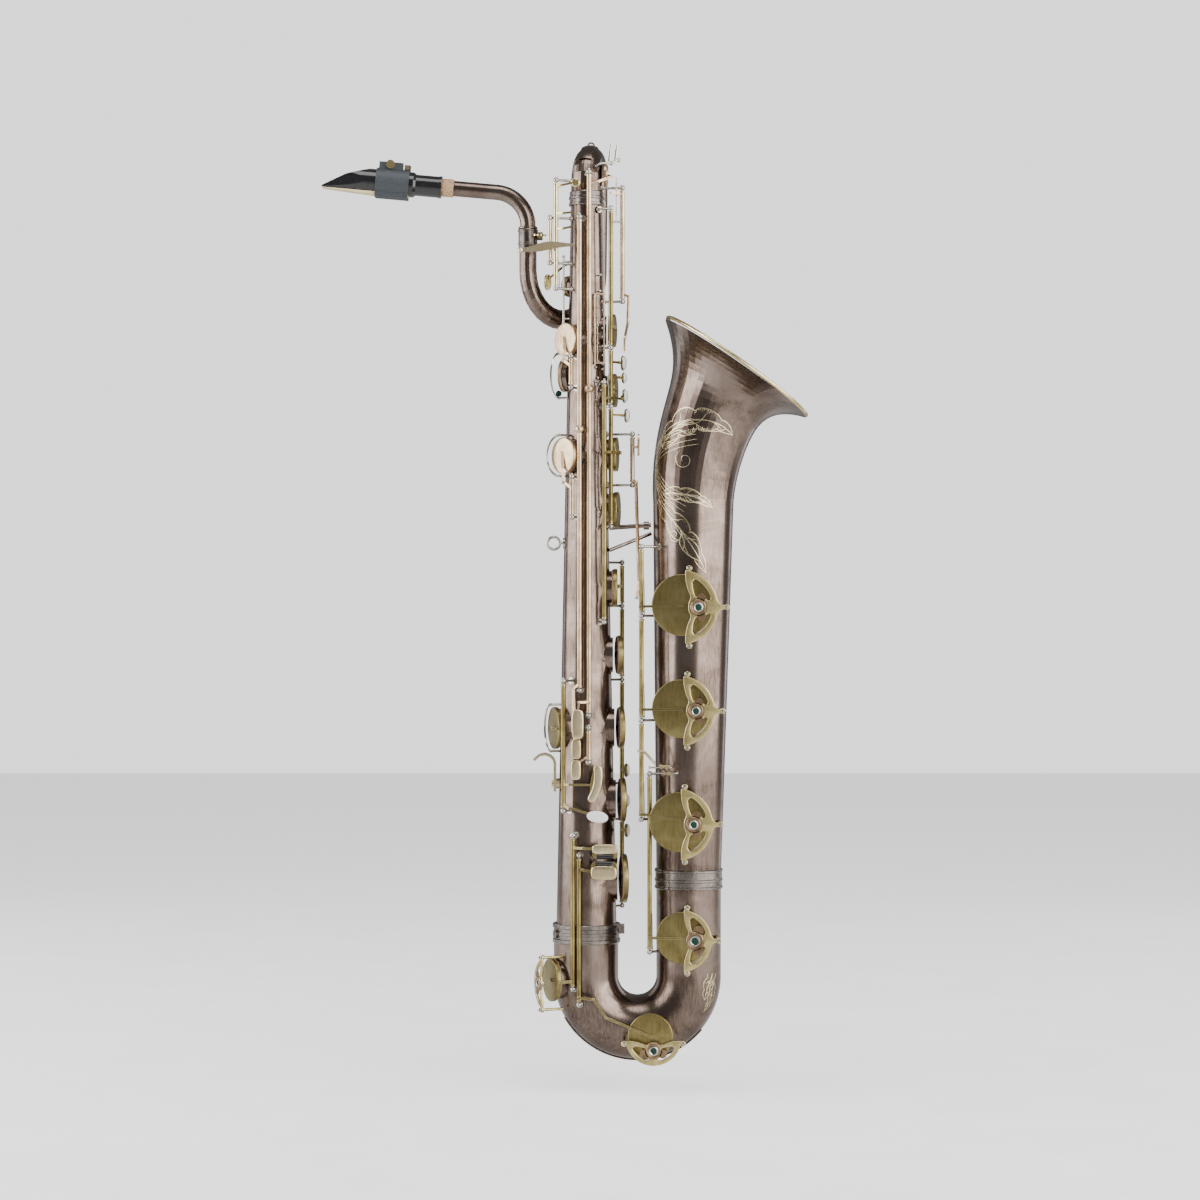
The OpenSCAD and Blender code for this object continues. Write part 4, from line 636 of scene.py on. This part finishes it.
def guard(name, place, r, depths):
    """A crescent of plate with two kidney windows, a lobed boss with its felt, and its feet."""
    s = r / GUARD_R
    side = len(depths) > 2
    rim = [(-17.6 + GUARD_R * math.cos(a), GUARD_R * math.sin(a))
           for a in (math.radians(-83 + 166 * k / 80) for k in range(81))
           if not (side and abs(math.sin(a)) < 0.15)]
    if side:
        half = len(rim) // 2
        tab = [(23.2, -2.9), (26.5, -2.3), (31.5, -2.3), (31.5, 2.3), (26.5, 2.3), (23.2, 2.9)]
        rim = rim[:half] + tab + rim[half:]
    inner = smooth_path([(-13.4, 38.2, 0), (-13.2, 29, 0), (-11.0, 18.6, 0), (-8.0, 10.6, 0),
                         (-9.8, 4.4, 0), (-10.3, 0, 0)], 7)
    inner = [(p.x, p.y) for p in inner]
    edge = rim + inner[1:] + [(x, -y) for x, y in inner[-2:0:-1]]
    window = smooth_path([(-6, 25.4, 0), (-2.4, 28.6, 0), (5.2, 22.8, 0), (10.2, 16.2, 0),
                          (13.0, 9.9, 0), (10.8, 6.8, 0), (5.4, 10.2, 0), (-2, 10.8, 0),
                          (-4.9, 17, 0), (-6, 25.4, 0)], 6)[:-1]
    windows = [[(p.x, f * p.y) for p in window] for f in (1, -1)]
    scaled = [[(s * x, s * y) for x, y in line] for line in [edge] + windows]
    feet = [place @ Matrix.Translation(v(s * x, s * y, 0))
            for x, y in FEET[:len(depths)]]
    bm = sheet(scaled, place, PLATE + 0.2, 0.75)
    for foot, reach in zip(feet, depths):
        lathe(bm, [(0, -reach), (1.5, -reach), (1.5, -1), (2.7, -0.6), (2.9, 0.2), (2.9, 1.5),
                   (2.5, 1.9), (0, 1.9)], foot, 24)
    plate = piece("plate_" + name, bm, GUARD, "root")
    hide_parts("guard_" + name)
    bm = bmesh.new()
    for foot in feet:
        lathe(bm, [(0, 1.7), (1.2, 1.8), (2.0, 2.7), (1.9, 3.8), (1.2, 4.6), (0, 4.8)], foot, 20)
    piece("guard_screws_" + name, bm, SILVER, "root")
    b = s if r > SMALL_GUARD else SMALL_BOSS * s
    bm = bmesh.new()
    for x, y, disc_r, steps in ((3.4, 9.6, 4.6, 32), (3.4, -9.6, 4.6, 32), (0, 0, 9.3, 64)):
        disc = [(b * (x + disc_r * math.cos(a)), b * (y + disc_r * math.sin(a)))
                for a in (2 * math.pi * k / steps for k in range(steps))]
        lower, upper = ([bm.verts.new(place @ v(*p, h)) for p in disc]
                        for h in (PLATE - 0.1, PLATE + 0.7))
        bm.faces.new(upper)
        for i in range(steps):
            j = (i + 1) % steps
            bm.faces.new((lower[i], lower[j], upper[j], upper[i]))
    lathe(bm, [(5.6 * b, 2.6), (6.2 * b, 3.3), (7.1 * b, 3.5), (7.8 * b, 3.2), (8.2 * b, 2.65)],
          place)
    piece("boss_" + name, bm, BOSS, "root")
    bm = bmesh.new()
    lathe(bm, [(3.3 * b, 2.5), (3.4 * b, 3.2), (4.2 * b, 3.6), (5.0 * b, 3.4), (5.6 * b, 2.55)],
          place)
    piece("bumper_ring_" + name, bm, SILVER, "root")
    bm = bmesh.new()
    lathe(bm, [(0, 2.4), (3.4 * b, 2.4), (3.4 * b, 3.0), (3.0 * b, 3.3), (0, 3.45)], place, 28)
    piece("felt_" + name, bm, FELT, "root")


def depth(plane, tube, off):
    """How far a foot reaches from a guard's plane to a tube, off mm beside the tube's axis."""
    return plane - math.sqrt(tube * tube - off * off) + 0.4


for name, (x, z, r) in BELL_CUPS.items():
    axis, tube = (stem_x(z), stem_r(z)) if z > STEM_FOOT else (BELL_X, BOW_R)
    plane, middle, s = tube + BELL_RISE + STAND, x + 13.6 * r / 32, r * GUARD_SCALE / GUARD_R
    guard(name, front(middle, z - 2, plane), r * GUARD_SCALE,
          [depth(plane, tube, middle + foot_x * s - axis) for foot_x, foot_y in FEET])
guard("low_c", front(104, -526, BOW_R + BELL_RISE + STAND) @ spin("Z", -90), 29, [26.0, 34.9])
guard("low_e_flat", Matrix.Translation(v(34, 0, -460)) @ spin("Z", 202) @ spin("Y", 90)
      @ spin("Z", -90) @ Matrix.Translation(v(-6, 0, 53.5)), 26, [22.1, 27.7])

# ------------------------------------------------------------------ small rods, links and springs

def rod(bm, points, r, ends=0.0, curved=False):
    """A round rod through points in mm, with balls of radius ends at its tips."""
    line = smooth_path(points) if curved else [Vector(p) for p in points]
    sweep(bm, line, r, 12)
    for p in (line[0], line[-1]) if ends else ():
        ball(bm, p, ends)


def ball(bm, p, r):
    """A turned screw head: a ball with a short neck and a flat."""
    place = Matrix.Translation(Vector(p) * MM)
    lathe(bm, [(0, r), (r * 0.45, r * 0.9), (r * 0.85, r * 0.5), (r, 0), (r * 0.85, -r * 0.5),
               (r * 0.45, -r * 0.9), (0, -r)], place, 16)


# The small octave mechanism in its ladder frame on the front of the body
bm = bmesh.new()
for x, z0, z1, r in ((43.4, 261, 187, 0.8), (46.0, 259, 189, 0.6), (53.0, 281, 187, 0.9)):
    rod(bm, [(x, -20.5, z0), (x, -20.5, z1)], r)
for z in (260.5, 188.5):
    rod(bm, [(42.6, -20.5, z), (54.4, -20.5, z)], 1.0)
piece("octave_frame", bm, COPPER, "root")
bm = bmesh.new()
for k in range(8):
    z = 256 - 9.4 * k
    ball(bm, (46.2 + 0.5 * (k % 2), -21.6, z), 1.3)
    ball(bm, (51.4, -21.4, z - 3.0), 1.2)
    rod(bm, [(46.2, -20.8, z), (46.2, -14.0, z)], 0.6)
for x, z in ((49.4, 281), (49.0, 264), (44.6, 184), (51.4, 182), (46.6, 173), (44.4, 166),
             (50.0, 160), (45.4, 150), (45.6, 112), (46.2, 96), (45.0, 84), (45.4, 38),
             (46.4, 27), (45.8, -40)):
    ball(bm, (x, -18.6, z), 1.5)
    rod(bm, [(x, -18.4, z), (x, -12.0, z)], 0.8)
piece("octave_screws", bm, SILVER, "root")

# Link rods beside the body
bm = bmesh.new()
rod(bm, [(10.4, -7, 301), (10.4, -7, 231)], 1.15, 1.7)
rod(bm, [(10.4, -7, 296), (18.5, -5, 296)], 1.0)
rod(bm, [(10.4, -7, 236), (18.0, -5, 236)], 1.0)
rod(bm, [(66.0, -9, 384), (66.0, -9, 337)], 0.7)
rod(bm, [(62.6, -9, 337.5), (69.8, -9, 337.5)], 0.9, 1.3)
rod(bm, [(43.6, -15.6, 395), (50, -15.4, 398), (60.5, -12, 398.5)], 1.1, curved=True)
rod(bm, [(60.5, -12, 398.6), (68.4, -9, 402.4)], 1.0, 2.3)
piece("upper_links", bm, SILVER, "root")
bm = bmesh.new()
for x, lean in ((58.2, 1.6), (64.4, 2.2)):
    sweep(bm, [Vector(p) for p in ((x, -9, 401), (x + lean * 0.4, -9, 410), (x + lean, -9, 419))],
          lambda t: 1.9 - 0.9 * t, 10, 0.45)
piece("upper_blades", bm, SILVER, "root")

# The bow's guard plate, curved both ways to lie on the tube
PLATE_SECTION = ([(0.05, a) for a in (-15, -10, -5, 0, 5, 10, 15)]
                 + [(h, 15.2) for h in (0.4, 0.8)] + [(1.15, a) for a in (14, 9, 3, -3, -9, -14)]
                 + [(h, -15.2) for h in (0.8, 0.4)])
bm = bmesh.new()
rings = []
for angle in (math.radians(-40 - 110 * k / 60) for k in range(61)):
    ring = []
    for h, side in PLATE_SECTION:
        r = BOW_R + h
        out = BOW_BEND + r * math.cos(math.radians(side))
        ring.append(bm.verts.new(v(BOW_X + out * math.cos(angle), r * math.sin(math.radians(side)),
                                   BOW_Z + out * math.sin(angle))))
    rings.append(ring)
for a, b in zip(rings, rings[1:]):
    for i in range(len(a)):
        bm.faces.new((a[i], a[i - 1], b[i - 1], b[i]))
bm.faces.new(rings[0])
bm.faces.new(rings[-1][::-1])
bow_plate = piece("bow_plate", bm, BRONZE, "root")
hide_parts("bow_guard")

# The bent link from the low B key to the C sharp key's bridge
bm = bmesh.new()
sweep(bm, smooth_path([(88.6, -38.4, -216.8), (94, -40.6, -217.2), (98.6, -41.4, -220.6),
                       (107.4, -41.6, -230.4)]), 1.7, 10, 0.8, rest_turn("key_low_b"))
piece("low_c_sharp_link", bm, COPPER, "key_low_b")
bm = bmesh.new()
for z, x0, x1 in ((-234.0, 100.4, 122), (-240.0, 99, 128.5)):
    rod(bm, [(x0, -40.5, z), (x1, -40.5, z)], 0.8, 1.5)
rod(bm, [(119.4, -40.5, -234), (119.4, -34.0, -234)], 1.2)
rod(bm, [(127.0, -40.5, -240), (127.0, -34.4, -240)], 1.2)
piece("bridge_rods", bm, SILVER, "root")
bm = bmesh.new()
for x, z in ((112.5, -233.6), (118, -234), (115.6, -240), (120.2, -240)):
    rod(bm, [(x, -43.0, z), (x, -38.6, z)], 2.0)
rod(bm, [(110, -40.6, -232.2), (121, -40.6, -232.6)], 1.3)
piece("bridge_collars", bm, GOLD, "root")

# The shut cup behind the rear side guard, on its own chimney, and the guard's felt
rear = radial(AXIS_X, 177, 160, body_r(177) - 0.5)
bm = bmesh.new()
lathe(bm, [(15.4, -2), (15.4, 2.6), (15.0, 3.0), (14.0, 3.0)], rear)
piece("rear_chimney", bm, BRONZE, "root")
bm = bmesh.new()
lathe(bm, [(16.2, 2.8), (17.2, 3.2), (17.4, 6.4), (17.0, 7.0), (16.2, 7.3), (0, 7.5)], rear)
piece("rear_cup", bm, COPPER, "root")
bm = bmesh.new()
lathe(bm, [(0, 2.4), (2.6, 2.2), (3.2, 1.4), (3.2, -0.6), (0, -0.6)],
      Matrix.Translation(v(5.2, 5, 158.0)) @ spin("X", 90), 24)
piece("side_guard_felt", bm, FELT, "root")

# Needle springs: each runs from a post's foot along its key tube to a hook
SPRING_POSTS = [(60, -25, 204, 34), (60, -25, 143, 34), (26.7, -37.8, -326, -40),
                (91.8, -36, -76.2, 38), (91.8, -36, -185.2, 38), (91.8, -36, -288.2, 38),
                (100.4, -35.5, -426.4, 40), (10.4, -33, -279.6, 34), (20.3, -37, -465, 36),
                (2.5, -17, 266.8, 30), (37.3, -31.2, -180.2, 30)]
bm = bmesh.new()
for x, y, z, length in SPRING_POSTS:
    ax = AXIS_X if x < 80 else stem_x(z)
    away = Vector((x - ax, y, 0)).normalized()
    a = Vector((x, y, z)) - away * 4.2
    b = a + Vector((0, 0, length)) + away * 0.8
    sweep(bm, [a, a * 0.5 + b * 0.5 - away * 0.3, b], lambda t: 0.42 - 0.2 * t, 8)
piece("needle_springs", bm, STEEL, "root")

# ------------------------------------------------------------------ studio

MIDDLE = Vector((0.012, 0.0, -0.06))
BACKDROP = (0.84, 0.845, 0.85, 1)


def lamp(name, at, w, h, power, colour=(1, 1, 1)):
    """A soft rectangle of light that faces the object."""
    data = bpy.data.lights.new(name, "AREA")
    data.shape, data.size, data.size_y, data.energy, data.color = "RECTANGLE", w, h, power, colour
    obj = bpy.data.objects.new(name, data)
    obj.location = at
    obj.rotation_euler = (MIDDLE - obj.location).to_track_quat("-Z", "Y").to_euler()
    bpy.context.collection.objects.link(obj)


lamp("wall_right", (2.05, -1.2, 0.5), 4.2, 2.0, 125, (1.0, 0.985, 0.97))
lamp("wall_left", (-1.95, -0.3, 0.5), 2.3, 2.0, 70, (0.98, 0.99, 1.0))
lamp("top", (0.1, -0.7, 1.9), 1.6, 1.0, 20)
lamp("back_left", (-1.4, 1.5, 0.4), 0.5, 1.8, 4)
lamp("back_right", (1.5, 1.6, 0.2), 0.5, 1.8, 4)

world = bpy.data.worlds.new("studio")
bpy.context.scene.world = world
world.use_nodes = True
sky = world.node_tree.nodes["Background"]
sky.inputs[0].default_value = BACKDROP
seen = world.node_tree.nodes.new("ShaderNodeLightPath").outputs["Is Camera Ray"]
level = world.node_tree.nodes.new("ShaderNodeMapRange")
level.inputs["To Min"].default_value = 0.24      # what the metal reflects
level.inputs["To Max"].default_value = 2.0       # the plain pale backdrop
world.node_tree.links.new(seen, level.inputs["Value"])
world.node_tree.links.new(level.outputs[0], sky.inputs[1])

floor_mesh = bpy.data.meshes.new("floor")
bm = bmesh.new()
bmesh.ops.create_grid(bm, x_segments=12, y_segments=12, size=6.0)
bm.to_mesh(floor_mesh)
bm.free()
floor = bpy.data.objects.new("floor", floor_mesh)
floor.location.z = cad_box[0][2] - 0.03
bpy.context.collection.objects.link(floor)
floor_look = plain("pale_floor", (0.72, 0.72, 0.71), (0.78, 0.78, 0.77), 8.0, (0.6, 0.75),
                   bump=0.02)
lit = floor_look.node("ShaderNodeLightPath").outputs["Is Camera Ray"]
floor_look.set(Emission_Color=BACKDROP, Emission_Strength=floor_look.remap(lit, 0, 1, 0, 1.2))
floor.data.materials.append(floor_look.material)

camera_data = bpy.data.cameras.new("camera")
camera_data.lens = 94.0
camera_data.sensor_width = 36.0
camera = bpy.data.objects.new("camera", camera_data)
camera.location = (0.0487, -3.3, -0.0597)
camera.rotation_euler = (math.radians(90), 0, 0)
bpy.context.collection.objects.link(camera)
bpy.context.scene.camera = camera
